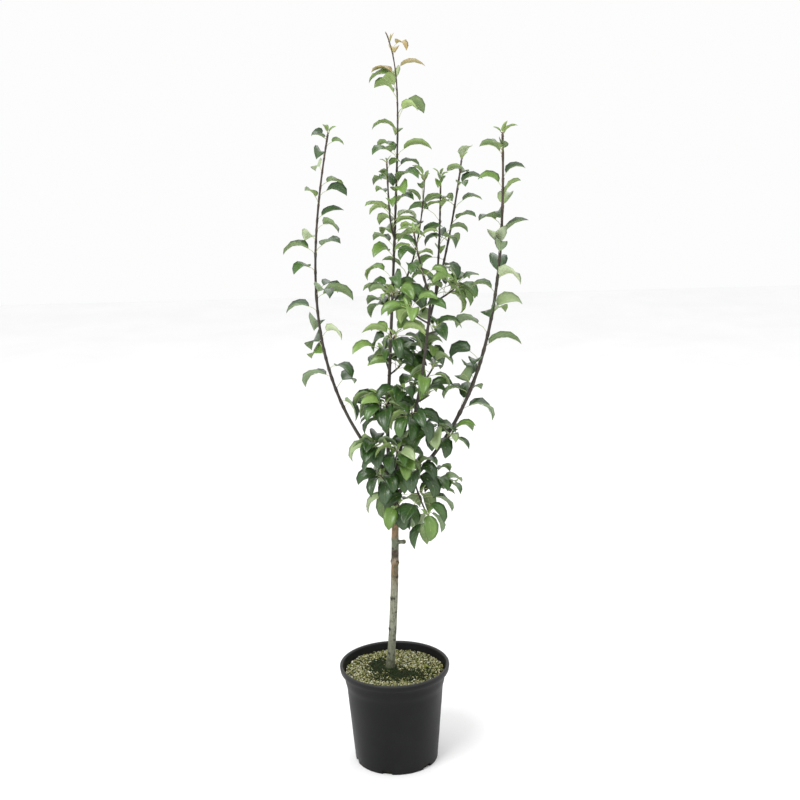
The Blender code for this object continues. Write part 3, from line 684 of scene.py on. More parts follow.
class NodeBench:
    """Lays out the nodes of one material."""

    def __init__(self, name: str, roughness: float, specular: float = 0.5) -> None:
        """Start a material with its shader's own roughness and specular level.

        Args:
            name: The material's name.
            roughness: Roughness all over.
            specular: Specular level all over.
        """
        self.material = bpy.data.materials.new(name)
        self.material.use_nodes = True
        self.tree = self.material.node_tree
        self.shader = self.tree.nodes["Principled BSDF"]
        self.shader.inputs["Roughness"].default_value = roughness
        self.shader.inputs["Specular IOR Level"].default_value = specular

    def add(self, kind: str, **values: object) -> bpy.types.Node:
        """Add a node and set its properties.

        Args:
            kind: Type of the node.
            values: Its properties.

        Returns:
            The node.
        """
        node = self.tree.nodes.new(kind)
        for key, value in values.items():
            setattr(node, key, value)
        return node

    def link(self, source: Socket, target: Socket) -> None:
        """Join an output to an input."""
        self.tree.links.new(source, target)

    def place(self, stretch: Colour = (1.0, 1.0, 1.0)) -> Socket:
        """Object coordinates, stretched along the axes.

        Args:
            stretch: Scale along each axis.

        Returns:
            The coordinates.
        """
        where = self.add("ShaderNodeTexCoord")
        mapping = self.add("ShaderNodeMapping")
        mapping.inputs["Scale"].default_value = stretch
        self.link(where.outputs["Object"], mapping.inputs["Vector"])
        return mapping.outputs["Vector"]

    def noise(self, vector: Socket, scale: float, detail: float = 3.0, rough: float = 0.55) -> Socket:
        """A cloudy pattern.

        Args:
            vector: Coordinates that it reads.
            scale: Cells for each metre.
            detail: Octaves.
            rough: Strength of the finer octaves.

        Returns:
            The pattern's value.
        """
        node = self.add("ShaderNodeTexNoise")
        node.inputs["Scale"].default_value = scale
        node.inputs["Detail"].default_value = detail
        node.inputs["Roughness"].default_value = rough
        self.link(vector, node.inputs["Vector"])
        return node.outputs["Fac"]

    def specks(self, vector: Socket, scale: float) -> Socket:
        """Distance to the nearest of many scattered points.

        Args:
            vector: Coordinates that it reads.
            scale: Points for each metre.

        Returns:
            The distance.
        """
        node = self.add("ShaderNodeTexVoronoi")
        node.inputs["Scale"].default_value = scale
        self.link(vector, node.inputs["Vector"])
        return node.outputs["Distance"]

    def ramp(self, value: Socket, stops: list[tuple[float, Colour]]) -> Socket:
        """Colours by a value, from stops of place and colour.

        Args:
            value: What picks the colour.
            stops: Places from 0 to 1, each with its colour.

        Returns:
            The colour.
        """
        node = self.add("ShaderNodeValToRGB")
        elements = node.color_ramp.elements
        while len(elements) < len(stops):
            elements.new(0.5)
        for element, (place, colour) in zip(elements, stops):
            element.position = place
            element.color = (*colour, 1.0)
        self.link(value, node.inputs["Fac"])
        return node.outputs["Color"]

    def spread(
        self, value: Socket, low: float, high: float, to_low: float = 0.0, to_high: float = 1.0
    ) -> Socket:
        """Stretch a value's range, clamped at both ends.

        Args:
            value: What is stretched.
            low: Value that gives to_low.
            high: Value that gives to_high.
            to_low: Result at low.
            to_high: Result at high.

        Returns:
            The stretched value.
        """
        node = self.add("ShaderNodeMapRange")
        node.inputs["From Min"].default_value = low
        node.inputs["From Max"].default_value = high
        node.inputs["To Min"].default_value = to_low
        node.inputs["To Max"].default_value = to_high
        self.link(value, node.inputs["Value"])
        return node.outputs["Result"]

    def mix(self, factor: Socket, first: Socket | Colour, second: Socket | Colour) -> Socket:
        """Blend two colours by a factor.

        Args:
            factor: 0 for the first, 1 for the second.
            first: A colour or an output.
            second: A colour or an output.

        Returns:
            The blended colour.
        """
        node = self.add("ShaderNodeMix", data_type="RGBA")
        self.link(factor, node.inputs["Factor"])
        for side, slot in ((first, MIX_FIRST), (second, MIX_SECOND)):
            if isinstance(side, tuple):
                node.inputs[slot].default_value = (*side, 1.0)
            else:
                self.link(side, node.inputs[slot])
        return node.outputs[MIX_RESULT]

    def from_axis(self) -> Socket:
        """Distance from the pot's axis.

        Returns:
            The distance in metres.
        """
        node = self.add("ShaderNodeVectorMath", operation="LENGTH")
        self.link(self.place((1.0, 1.0, 0.0)), node.inputs[0])
        return node.outputs["Value"]

    def attribute(self, name: str) -> Socket:
        """A number that the mesh keeps at its points."""
        return self.add("ShaderNodeAttribute", attribute_name=name).outputs["Fac"]

    def math(self, operation: str, first: Socket | float, second: Socket | float = 0.0) -> Socket:
        """Combine two numbers.

        Args:
            operation: Name of the operation.
            first: A number or an output.
            second: A number or an output.

        Returns:
            The result.
        """
        node = self.add("ShaderNodeMath", operation=operation)
        for slot, value in enumerate((first, second)):
            if isinstance(value, float):
                node.inputs[slot].default_value = value
            else:
                self.link(value, node.inputs[slot])
        return node.outputs["Value"]

    def veins(self, pairs: float, slant: float) -> tuple[Socket, Socket]:
        """Veins of a leaf, read from its own map: along it, and across from 0 to 1.

        Args:
            pairs: Side veins on each half.
            slant: How far a side vein runs forward, in vein spacings.

        Returns:
            The midrib's strength and the side veins' strength.
        """
        rib_edge, rib_core = 0.040, 0.012
        vein_edge, vein_core = 0.10, 0.02
        along, across = self.leaf_place()
        off = self.math("ABSOLUTE", self.math("SUBTRACT", across, 0.5))
        run = self.math("SUBTRACT", self.math("MULTIPLY", along, pairs), self.math("MULTIPLY", off, slant))
        away = self.math("ABSOLUTE", self.math("SUBTRACT", self.math("FRACT", run), 0.5))
        return self.spread(off, rib_edge, rib_core), self.spread(away, vein_edge, vein_core)

    def leaf_place(self) -> tuple[Socket, Socket]:
        """Place on the piece's own map.

        Returns:
            How far along it is and how far across, from 0 to 1 each.
        """
        split = self.add("ShaderNodeSeparateXYZ")
        self.link(self.add("ShaderNodeUVMap", uv_map=LEAF_MAP).outputs["UV"], split.inputs["Vector"])
        return split.outputs["X"], split.outputs["Y"]

    def height(self) -> Socket:
        """Height above the pot's underside.

        Returns:
            The height in metres.
        """
        split = self.add("ShaderNodeSeparateXYZ")
        self.link(self.add("ShaderNodeTexCoord").outputs["Object"], split.inputs["Vector"])
        return split.outputs["Z"]

    def colour(self, source: Socket) -> None:
        """Give the shader its base colour."""
        self.link(source, self.shader.inputs["Base Color"])

    def roughness(self, source: Socket) -> None:
        """Give the shader a roughness that varies."""
        self.link(source, self.shader.inputs["Roughness"])

    def bump(self, source: Socket, distance: float, strength: float = 1.0) -> None:
        """Give the shader a fine relief of a depth in metres.

        Args:
            source: Height of the relief, from 0 to 1.
            distance: Its depth in metres.
            strength: How much of it shows.
        """
        node = self.add("ShaderNodeBump")
        node.inputs["Distance"].default_value = distance
        node.inputs["Strength"].default_value = strength
        self.link(source, node.inputs["Height"])
        self.link(node.outputs["Normal"], self.shader.inputs["Normal"])


@dataclass(frozen=True)
class LeafFinish:
    """Skin of a leaf: mottled, with paler veins and a soft waxy gloss."""

    name: str
    base: Colour
    light: Colour
    vein: Colour
    vein_strength: float
    roughness: float
    specular: float
    grain_share: float = 0.5

    def material(self) -> Material:
        """Make the leaf's material.

        Returns:
            The material.
        """
        bench = NodeBench(self.name, self.roughness, self.specular)
        place = bench.place()
        mottle = bench.spread(bench.noise(place, scale=30.0), low=0.32, high=0.70)
        skin = bench.mix(mottle, self.base, self.light)
        midrib, side_veins = bench.veins(pairs=7.0, slant=5.0)
        ribs = bench.math("MAXIMUM", midrib, side_veins)
        lines = bench.math("MULTIPLY", ribs, self.vein_strength)
        bench.colour(bench.mix(lines, skin, self.vein))
        grain = bench.noise(place, scale=450.0, detail=2.0)
        relief = bench.math("ADD", ribs, bench.math("MULTIPLY", grain, self.grain_share))
        bench.bump(relief, distance=0.0002, strength=0.25)
        return bench.material


@dataclass(frozen=True)
class BarkFinish:
    """Bark whose colour changes with height, with streaks, blotches, pores and dark scars."""

    name: str
    stops: tuple[tuple[float, Colour], ...]
    foot_height: float
    top_height: float
    shade: Colour
    shade_share: float
    pore: Colour
    scar: Colour
    roughness: float = 0.72
    stray_share: float = 0.07
    pore_share: float = 0.35

    def material(self) -> Material:
        """Make the bark's material.

        Returns:
            The material.
        """
        bench = NodeBench(self.name, self.roughness, specular=0.3)
        share = bench.spread(bench.height(), self.foot_height, self.top_height)
        stray = bench.math("SUBTRACT", bench.noise(bench.place(), scale=110.0), 0.5)
        stirred = bench.math("ADD", share, bench.math("MULTIPLY", stray, self.stray_share))
        ground = bench.ramp(stirred, list(self.stops))
        streaks = bench.noise(bench.place((1.0, 1.0, 0.14)), scale=380.0, detail=5.0, rough=0.65)
        dark = bench.spread(streaks, low=0.42, high=0.72, to_high=self.shade_share)
        streaked = bench.mix(dark, ground, self.shade)
        blotches = bench.noise(bench.place((1.0, 1.0, 0.7)), scale=120.0, detail=5.0, rough=0.7)
        dark = bench.spread(blotches, low=0.50, high=0.60, to_high=self.shade_share)
        blotched = bench.mix(dark, streaked, self.shade)
        pores = bench.specks(bench.place((1.0, 1.0, 0.6)), scale=260.0)
        pale = bench.spread(pores, low=0.20, high=0.10, to_high=self.pore_share)
        pored = bench.mix(pale, blotched, self.pore)
        bench.colour(bench.mix(bench.attribute(SCAR), pored, self.scar))
        fine = bench.noise(bench.place((1.0, 1.0, 0.35)), scale=800.0, detail=5.0, rough=0.65)
        bench.bump(fine, distance=0.0008, strength=0.8)
        return bench.material


@dataclass(frozen=True)
class TwigFinish:
    """Smooth skin of a stalk or bud."""

    name: str
    base: Colour
    light: Colour
    roughness: float = 0.5

    def material(self) -> Material:
        """Make the skin's material.

        Returns:
            The material.
        """
        bench = NodeBench(self.name, self.roughness)
        patches = bench.noise(bench.place((1.0, 1.0, 0.5)), scale=160.0)
        bench.colour(bench.mix(bench.spread(patches, low=0.35, high=0.70), self.base, self.light))
        bench.bump(bench.noise(bench.place(), scale=1400.0, detail=2.0), distance=0.0002, strength=0.5)
        return bench.material


@dataclass(frozen=True)
class ShootFinish:
    """Skin of a leafy twig, dark brown and a little lighter towards its young tip."""

    name: str
    ripe: tuple[Colour, Colour]
    young: tuple[Colour, Colour]
    pore: Colour
    pore_share: float = 0.5

    def material(self) -> Material:
        """Make the twigs' material.

        Returns:
            The material.
        """
        bench = NodeBench(self.name, roughness=0.55, specular=0.4)
        clouds = bench.noise(bench.place((1.0, 1.0, 0.3)), scale=150.0, detail=4.0)
        patches = bench.spread(clouds, low=0.35, high=0.70)
        youth = bench.leaf_place()[0]
        skin = bench.mix(youth, bench.mix(patches, *self.ripe), bench.mix(patches, *self.young))
        pores = bench.specks(bench.place((1.0, 1.0, 0.6)), scale=320.0)
        pale = bench.spread(pores, low=0.20, high=0.10, to_high=self.pore_share)
        bench.colour(bench.mix(pale, skin, self.pore))
        fine = bench.noise(bench.place((1.0, 1.0, 0.4)), scale=1100.0)
        bench.bump(fine, distance=0.0003, strength=0.6)
        return bench.material


@dataclass(frozen=True)
class PlasticFinish:
    """Recycled black plastic with a satin skin, dusty patches, light scuffs and a painted highlight on top of
    its lip.
    """

    name: str
    base: Colour
    dust: Colour
    # Colour of the painted highlight on the lip, and the height and radius past which it shows.
    lip: Colour
    lip_height: float
    lip_radius: float
    fade_height: float = 0.004
    fade_width: float = 0.001

    def material(self) -> Material:
        """Make the plastic's material.

        Returns:
            The material.
        """
        bench = NodeBench(self.name, roughness=0.46, specular=0.20)
        place = bench.place()
        clouds = bench.noise(place, scale=9.0, detail=4.0)
        dusty = bench.mix(bench.spread(clouds, low=0.42, high=0.80, to_high=0.5), self.base, self.dust)
        scuffs = bench.noise(bench.place((1.0, 1.0, 7.0)), scale=60.0, detail=5.0, rough=0.7)
        scuffed = bench.mix(bench.spread(scuffs, low=0.62, high=0.80, to_high=0.35), dusty, self.dust)
        # Painted highlight: the top of the lip outside the mouth is made lighter, in patches that follow the
        # scuffs.
        top = bench.spread(bench.height(), self.lip_height, self.lip_height + self.fade_height)
        rim = bench.spread(bench.from_axis(), self.lip_radius, self.lip_radius + self.fade_width)
        highlight_patchiness = bench.spread(scuffs, low=0.30, high=0.60, to_low=0.6)
        lip_highlight = bench.math("MULTIPLY", bench.math("MULTIPLY", top, rim), highlight_patchiness)
        bench.colour(bench.mix(lip_highlight, scuffed, self.lip))
        bench.roughness(bench.spread(clouds, low=0.30, high=0.75, to_low=0.40, to_high=0.56))
        bench.bump(bench.noise(place, scale=1500.0, detail=2.0), distance=0.0001, strength=0.6)
        return bench.material


@dataclass(frozen=True)
class ChipFinish:
    """Dry fibrous bark or a tuft of moss."""

    name: str
    base: Colour
    light: Colour

    def material(self) -> Material:
        """Make the chips' material.

        Returns:
            The material.
        """
        bench = NodeBench(self.name, roughness=0.88, specular=0.25)
        place = bench.place()
        patches = bench.spread(bench.noise(place, scale=260.0), low=0.3, high=0.7)
        bench.colour(bench.mix(patches, self.base, self.light))
        bench.bump(bench.noise(place, scale=1600.0), distance=0.0004, strength=0.8)
        return bench.material


# The bluish tone's colours are painted shade and sheen, and the pale tone's colours stand for painted
# highlights where it is dealt in the lower crown.
LEAF_COLOURS = {
    Tone.DEEP: (srgb(32, 60, 20), srgb(48, 80, 32)),
    Tone.SHADE: (srgb(48, 74, 42), srgb(72, 98, 64)),
    Tone.FULL: (srgb(50, 82, 30), srgb(74, 108, 48)),
    Tone.OLIVE: (srgb(80, 112, 42), srgb(110, 142, 66)),
    Tone.FRESH: (srgb(106, 138, 62), srgb(134, 162, 88)),
    Tone.PALE: (srgb(134, 156, 104), srgb(158, 176, 128)),
    Tone.BRONZE: (srgb(152, 128, 74), srgb(184, 166, 110)),
}
UNDER_COLOURS = {
    Tone.DEEP: (srgb(98, 122, 78), srgb(126, 146, 104)),
    Tone.SHADE: (srgb(122, 144, 108), srgb(148, 166, 132)),
    Tone.FULL: (srgb(112, 136, 86), srgb(140, 160, 112)),
    Tone.OLIVE: (srgb(124, 148, 86), srgb(150, 170, 114)),
    Tone.FRESH: (srgb(138, 162, 94), srgb(164, 184, 124)),
    Tone.PALE: (srgb(168, 184, 142), srgb(190, 202, 168)),
    Tone.BRONZE: (srgb(168, 150, 104), srgb(190, 176, 132)),
}
VEIN_COLOUR = srgb(168, 184, 122)
CHIP_COLOURS = {
    Chip.STRAW: (srgb(150, 148, 104), srgb(188, 184, 140)),
    Chip.CREAM: (srgb(196, 196, 172), srgb(226, 226, 208)),
    Chip.OLIVE: (srgb(94, 100, 42), srgb(128, 134, 68)),
    Chip.HUMUS: (srgb(36, 40, 20), srgb(64, 66, 36)),
    Chip.MOSS: (srgb(22, 34, 16), srgb(44, 58, 28)),
}

# Shoots whose leaves are lowered to darker tones as painted shade, by how much, and below each level the
# tones with their shares.
PAINTED_SHADE_SHOOTS = {"left_shoot": 0.70, "right_shoot": 0.50}
# In the lower bands the pale tone is painted highlight and the bluish tone is painted shade and sheen.
TONE_BANDS = (
    (0.70, (Tone.DEEP, Tone.SHADE, Tone.FULL, Tone.OLIVE, Tone.PALE), (0.40, 0.22, 0.18, 0.10, 0.10)),
    (0.90, (Tone.DEEP, Tone.SHADE, Tone.FULL, Tone.OLIVE, Tone.PALE), (0.34, 0.16, 0.26, 0.16, 0.08)),
    (1.12, (Tone.DEEP, Tone.FULL, Tone.OLIVE, Tone.FRESH), (0.32, 0.36, 0.24, 0.08)),
    (1.32, (Tone.DEEP, Tone.FULL, Tone.OLIVE, Tone.FRESH), (0.28, 0.34, 0.28, 0.10)),
    (math.inf, (Tone.FULL, Tone.OLIVE, Tone.FRESH, Tone.PALE), (0.26, 0.42, 0.24, 0.08)),
)


def select_only(*pieces: Object) -> None:
    """Leave only some objects selected, the last one active, or none at all.

    Args:
        pieces: The objects.
    """
    for item in list(bpy.context.view_layer.objects.selected):
        item.select_set(False)
    for piece in pieces:
        piece.select_set(True)
        bpy.context.view_layer.objects.active = piece


def disc(corners: int, radius: float, height: float) -> Object:
    """A level disc on the pot's axis, left in edit mode to be raised.

    Args:
        corners: Corners round its edge.
        radius: Its radius.
        height: Its height above the pot's underside.

    Returns:
        The disc.
    """
    select_only()
    bpy.ops.mesh.primitive_circle_add(
        vertices=corners, radius=radius, fill_type="NGON", location=(0.0, 0.0, height)
    )
    piece = bpy.context.active_object
    bpy.ops.object.transform_apply(location=True, rotation=True, scale=True)
    bpy.ops.object.mode_set(mode="EDIT")
    bpy.ops.mesh.select_all(action="SELECT")
    return piece


def raise_ring(here: tuple[float, float], after: tuple[float, float]) -> None:
    """Extrude the selected ring to its next radius and height.

    Args:
        here: Its radius and height.
        after: The next ones.
    """
    bpy.ops.mesh.extrude_region_move(TRANSFORM_OT_translate={"value": (0.0, 0.0, after[1] - here[1])})
    grow = after[0] / here[0]
    bpy.ops.transform.resize(value=(grow, grow, 1.0), center_override=(0.0, 0.0, after[1]))


def end_shell() -> None:
    """Turn the raised faces outward and leave edit mode."""
    bpy.ops.mesh.select_all(action="SELECT")
    bpy.ops.mesh.normals_make_consistent(inside=False)
    bpy.ops.object.mode_set(mode="OBJECT")


def finish_piece(
    piece: Object, name: str, nodes: list[str], materials: list[Material]
) -> None:
    """Name a piece, dress it and tie it to the frame.

    Args:
        piece: The finished object.
        name: Its name.
        nodes: The CAD nodes that it stands for.
        materials: Its materials.
    """
    piece.name = name
    piece.data.name = name
    piece.data.materials.clear()
    for material in materials:
        piece.data.materials.append(material)
    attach(piece, BODY)
    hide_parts(*nodes)
    LOG.info("%s: %d faces", name, len(piece.data.polygons))


@dataclass
class Heap:
    """Gathers many small shapes into one mesh."""

    points: list[Vector] = field(default_factory=list)
    faces: list[tuple[int, ...]] = field(default_factory=list)
    skins: list[int] = field(default_factory=list)
    map: list[tuple[float, float]] = field(default_factory=list)

    def add(
        self, points: list[Vector], faces: list[tuple[int, ...]], skins: list[int] | int = 0,
        places: list[tuple[float, float]] | None = None,
    ) -> None:
        """Add a shape.

        Args:
            points: Its points.
            faces: Its faces, by the numbers of its points.
            skins: One skin number, or one for each face.
            places: Where each point is on the leaf's own map, for a leaf.
        """
        low = len(self.points)
        self.map.extend(places or [])
        self.points.extend(points)
        self.faces.extend(tuple(low + corner for corner in face) for face in faces)
        self.skins.extend([skins] * len(faces) if isinstance(skins, int) else skins)

    def piece(
        self, name: str, slot: str, nodes: list[str], materials: list[Material], smooth: bool = True
    ) -> None:
        """Make the mesh an object of the scene.

        Args:
            name: Its name.
            slot: The record's material slot; not used.
            nodes: The CAD nodes that it stands for.
            materials: Its materials, by skin number.
            smooth: Whether its faces are shaded smooth.
        """
        mesh = bpy.data.meshes.new(name)
        mesh.from_pydata([tuple(point) for point in self.points], [], self.faces)
        piece = bpy.data.objects.new(name, mesh)
        bpy.context.scene.collection.objects.link(piece)
        finish_piece(piece, name, nodes, materials)
        mesh.polygons.foreach_set("material_index", self.skins)
        if self.map:
            layer = mesh.uv_layers.new(name=LEAF_MAP)
            corners = np.empty(len(mesh.loops), dtype=np.int32)
            mesh.loops.foreach_get("vertex_index", corners)
            layer.data.foreach_set("uv", np.array(self.map, dtype=np.float32)[corners].ravel())
        if smooth:
            mesh.shade_smooth()
        mesh.update()


def tube(
    rings: list[tuple[Vector, Vector, Vector]], radii: list[float], sides: int, closed_tip: bool = True
) -> Solid:
    """A round tube through rings, closed by a flat foot and a point.

    Args:
        rings: Centre, side and front of each ring.
        radii: Radius of each ring.
        sides: Corners of each ring.
        closed_tip: Whether the far end comes to a point.

    Returns:
        The tube's points and faces.
    """
    points = []
    for (centre, side, front), radius in zip(rings, radii):
        for step in range(sides):
            angle = 2.0 * math.pi * step / sides
            points.append(centre + radius * (math.cos(angle) * side + math.sin(angle) * front))
    faces = [tuple(range(sides))[::-1]]
    for ring in range(len(rings) - 1):
        low = ring * sides
        for step in range(sides):
            after = (step + 1) % sides
            faces.append((low + step, low + after, low + sides + after, low + sides + step))
    top = (len(rings) - 1) * sides
    if closed_tip:
        centre, side, front = rings[-1]
        points.append(centre + side.cross(front) * radii[-1])
        faces += [(top + step, top + (step + 1) % sides, len(points) - 1) for step in range(sides)]
    else:
        faces.append(tuple(range(top, top + sides)))
    return points, faces


@dataclass
class Pot:
    """Round tapered pot with a rolled lip, a collar and drain notches in its foot."""

    segments: int = 144
    lip_outer: float = 0.1199
    # Height from which the painted highlight shows on the lip.
    lip_foot: float = 0.2175
    mouth: float = 0.1125
    height: float = 0.2225
    wall: float = 0.0024
    floor: float = 0.0040
    notch_count: int = 6
    notch_turn: float = -44.0
    notch_width: float = 0.021
    notch_height: float = 0.0095
    notch_depth: float = 0.011
    notch_round: float = 0.0016
    notch_round_steps: int = 3
    foot_radius: float = 0.0906
    smooth_degrees: float = 32.0

    def outline(self) -> list[tuple[float, float]]:
        """Radius and height along the shell, up the outside and down the inside.

        Returns:
            The points of the outline.
        """
        outside = [
            (0.0890, 0.0), (self.foot_radius, 0.0012), (0.0912, 0.0040), (0.0934, 0.030), (0.0958, 0.057),
            (0.0979, 0.084), (0.1001, 0.111), (0.1023, 0.135), (0.1043, 0.161), (0.1050, 0.1685),
            (0.1056, 0.1738), (0.1071, 0.1795), (0.1084, 0.1845), (0.1090, 0.1880), (0.1099, 0.1950),
            (0.1108, 0.2035), (0.1122, 0.2056), (0.1152, 0.2062), (0.1172, 0.2072), (0.1186, 0.2098),
            (0.1195, 0.2150), (self.lip_outer, 0.2186), (0.1198, 0.2206), (0.1190, 0.2219),
        ]
        mouth = [
            (0.1178, self.height), (0.1160, 0.2224), (0.1144, 0.2216), (0.1132, 0.2202),
            (self.mouth, 0.2182), (0.1118, 0.2130),
        ]
        wall_rows = outside[4:16]
        inside = [(radius - self.wall, height) for radius, height in reversed(wall_rows)]
        return outside + mouth + inside + [(0.0896, self.floor)]

    def build(self) -> None:
        """Raise the shell ring by ring and cut its notches."""
        outline = self.outline()
        shell = disc(self.segments, *outline[0])
        for here, after in zip(outline, outline[1:]):
            raise_ring(here, after)
        end_shell()
        for index in range(self.notch_count):
            self.cut_notch(shell, math.radians(self.notch_turn + 360.0 * index / self.notch_count))
        select_only(shell)
        bpy.ops.object.shade_smooth_by_angle(angle=math.radians(self.smooth_degrees))
        # The third colour is a painted highlight on top of the lip, from lip_foot up.
        plastic = PlasticFinish(
            "pot_plastic", srgb(8, 9, 9), srgb(30, 31, 30), srgb(52, 53, 52), self.lip_foot, self.mouth
        ).material()
        finish_piece(shell, "pot_shell", ["pot"], [plastic])

    def cut_notch(self, shell: Object, angle: float) -> None:
        """Cut one drain notch through the foot of the shell, with rounded corners.

        Args:
            shell: The shell.
            angle: Where round the foot, in radians.
        """
        select_only()
        place = (self.foot_radius * math.cos(angle), self.foot_radius * math.sin(angle), 0.0)
        bpy.ops.mesh.primitive_cube_add(size=1.0, location=place, rotation=(0.0, 0.0, angle))
        cutter = bpy.context.active_object
        cutter.scale = (self.notch_depth, self.notch_width, 2.0 * self.notch_height)
        bpy.ops.object.transform_apply(location=True, rotation=True, scale=True)
        bevel = cutter.modifiers.new("round", "BEVEL")
        bevel.width = self.notch_round
        bevel.segments = self.notch_round_steps
        bpy.ops.object.modifier_apply(modifier=bevel.name)
        select_only(shell)
        cut = shell.modifiers.new("notch", "BOOLEAN")
        cut.operation = "DIFFERENCE"
        cut.solver = "EXACT"
        cut.object = cutter
        bpy.ops.object.modifier_apply(modifier=cut.name)
        mesh = cutter.data
        bpy.data.objects.remove(cutter, do_unlink=True)
        bpy.data.meshes.remove(mesh)


@dataclass
class Soil:
    """Body of the soil, its crumbly top and the bark chips and moss on it."""

    foot_height: float = 0.0044
    foot_radius: float = 0.0878
    edge_height: float = 0.2045
    edge_radius: float = 0.1072
    top_height: float = 0.2085
    segments: int = 96
    rings: int = 26
    crumb: float = 0.0026
    crumb_cells: float = 130.0
    crumb_layer: float = 1.0
    fine_crumb: float = 2.3
    edge_fade: float = 0.004
    chip_count: int = 7600
    collar_count: int = 420
    reach: float = 0.1065
    trunk_foot: tuple[float, float] = (-0.010, 0.0)
    trunk_room: float = 0.0100
    moss_collar: float = 0.0200
    collar_width: float = 0.009
    collar_rise: float = 0.0042
    collar_fade: float = 0.006
    bedding: tuple[float, float] = (-0.0015, 0.0018)
    moss_share: float = 0.70
    moss_reach: float = 1.60
    moss_ragged: float = 0.55
    moss_cells: float = 60.0
    moss_layer: float = 3.0
    moss_patches: tuple[tuple[float, float, float, float], ...] = (
        (-0.036, 0.016, 0.023, 0.036), (0.016, -0.030, 0.056, 0.024),
    )
    mix_of_bits: tuple[float, ...] = (0.36, 0.11, 0.25, 0.28)
    chip_half_sizes: tuple[tuple[float, float], ...] = (
        (0.0014, 0.0046), (0.0007, 0.0017), (0.0004, 0.0010),
    )
    tuft_half_sizes: tuple[tuple[float, float], ...] = (
        (0.0012, 0.0026), (0.0010, 0.0022), (0.0008, 0.0018),
    )
    bit_sides: int = 5
    bit_levels: tuple[tuple[float, float], ...] = ((-1.0, 0.75), (1.0, 0.80))
    bit_edge: tuple[float, float] = (0.70, 1.20)
    bit_tilts: tuple[float, float] = (0.8, 0.5)
    seed: int = 7

    def surface(self, radius: float) -> float:
        """Height of the slightly domed top at a radius."""
        share = min(1.0, radius / self.edge_radius)
        return self.top_height - (self.top_height - self.edge_height) * share ** 2

    def mossy(self, x: float, y: float) -> float:
        """How much of the place is dark moss, from 0 to 1.

        Args:
            x: Across from the pot's axis.
            y: Back from the pot's axis.

        Returns:
            The share of moss.
        """
        away = [self.from_trunk(x, y) / self.moss_collar]
        for middle_x, middle_y, half_width, half_depth in self.moss_patches:
            away.append(math.hypot((x - middle_x) / half_width, (y - middle_y) / half_depth))
        spot = Vector((x * self.moss_cells, y * self.moss_cells, self.moss_layer))
        return max(0.0, min(1.0, self.moss_reach - min(away) - self.moss_ragged * noise.noise(spot)))

    def from_trunk(self, x: float, y: float) -> float:
        """Distance from the middle of the trunk's foot."""
        return math.hypot(x - self.trunk_foot[0], y - self.trunk_foot[1])

    def build(self) -> None:
        """Make the body of the soil and the bits on top."""
        self.build_body()
        self.build_bits()

    def build_body(self) -> None:
        """Raise the soil's body from its foot, dome its top and roughen it."""
        body = disc(self.segments, self.foot_radius, self.foot_height)
        raise_ring((self.foot_radius, self.foot_height), (self.edge_radius, self.edge_height))
        for _ in range(self.rings):
            bpy.ops.mesh.inset(thickness=self.edge_radius / (self.rings + 1), depth=0.0)
        end_shell()
        middle = 0.5 * (self.foot_height + self.edge_height)
        for vertex in body.data.vertices:
            x, y, z = vertex.co
            if z > middle:
                radius = math.hypot(x, y)
                spot = Vector((x * self.crumb_cells, y * self.crumb_cells, self.crumb_layer))
                fade = min(1.0, (self.edge_radius - radius) / self.edge_fade)
                fine = noise.noise(spot * self.fine_crumb)
                rough = self.crumb * (noise.noise(spot) + 0.5 * fine) * fade
                vertex.co.z = self.surface(radius) + rough - 0.5 * self.crumb
        body.data.shade_smooth()
        humus = ChipFinish("humus", srgb(24, 26, 14), srgb(46, 48, 26)).material()
        finish_piece(body, "soil_body", ["soil"], [humus])

    def build_bits(self) -> None:
        """Scatter chips of every kind over the top, and moss round the trunk's foot."""
        draw = random.Random(self.seed)
        heaps = {kind: Heap() for kind in Chip}
        for number in range(self.chip_count + self.collar_count):
            turn = draw.uniform(0.0, 2.0 * math.pi)
            if number < self.chip_count:
                radius = self.reach * math.sqrt(draw.random())
                x, y = radius * math.cos(turn), radius * math.sin(turn)
            else:
                away = self.trunk_room + draw.uniform(0.0, self.collar_width)
                x = self.trunk_foot[0] + away * math.cos(turn)
                y = self.trunk_foot[1] + away * math.sin(turn)
                radius = math.hypot(x, y)
            near = self.from_trunk(x, y) - self.trunk_room
            if near < 0.0:
                continue
            if draw.random() < self.mossy(x, y):
                kind = Chip.MOSS if draw.random() < self.moss_share else Chip.HUMUS
            else:
                kinds = (Chip.STRAW, Chip.CREAM, Chip.OLIVE, Chip.HUMUS)
                kind = draw.choices(kinds, self.mix_of_bits)[0]
            mound = self.collar_rise * math.exp(-near / self.collar_fade)
            height = self.surface(radius) + mound + draw.uniform(*self.bedding)
            heaps[kind].add(*self.bit(kind, Vector((x, y, height)), draw))
        for kind, heap in heaps.items():
            finish = ChipFinish("bits_" + kind.value, *CHIP_COLOURS[kind]).material()
            heap.piece("bits_" + kind.value, "potting_soil", ["soil"], [finish], smooth=False)

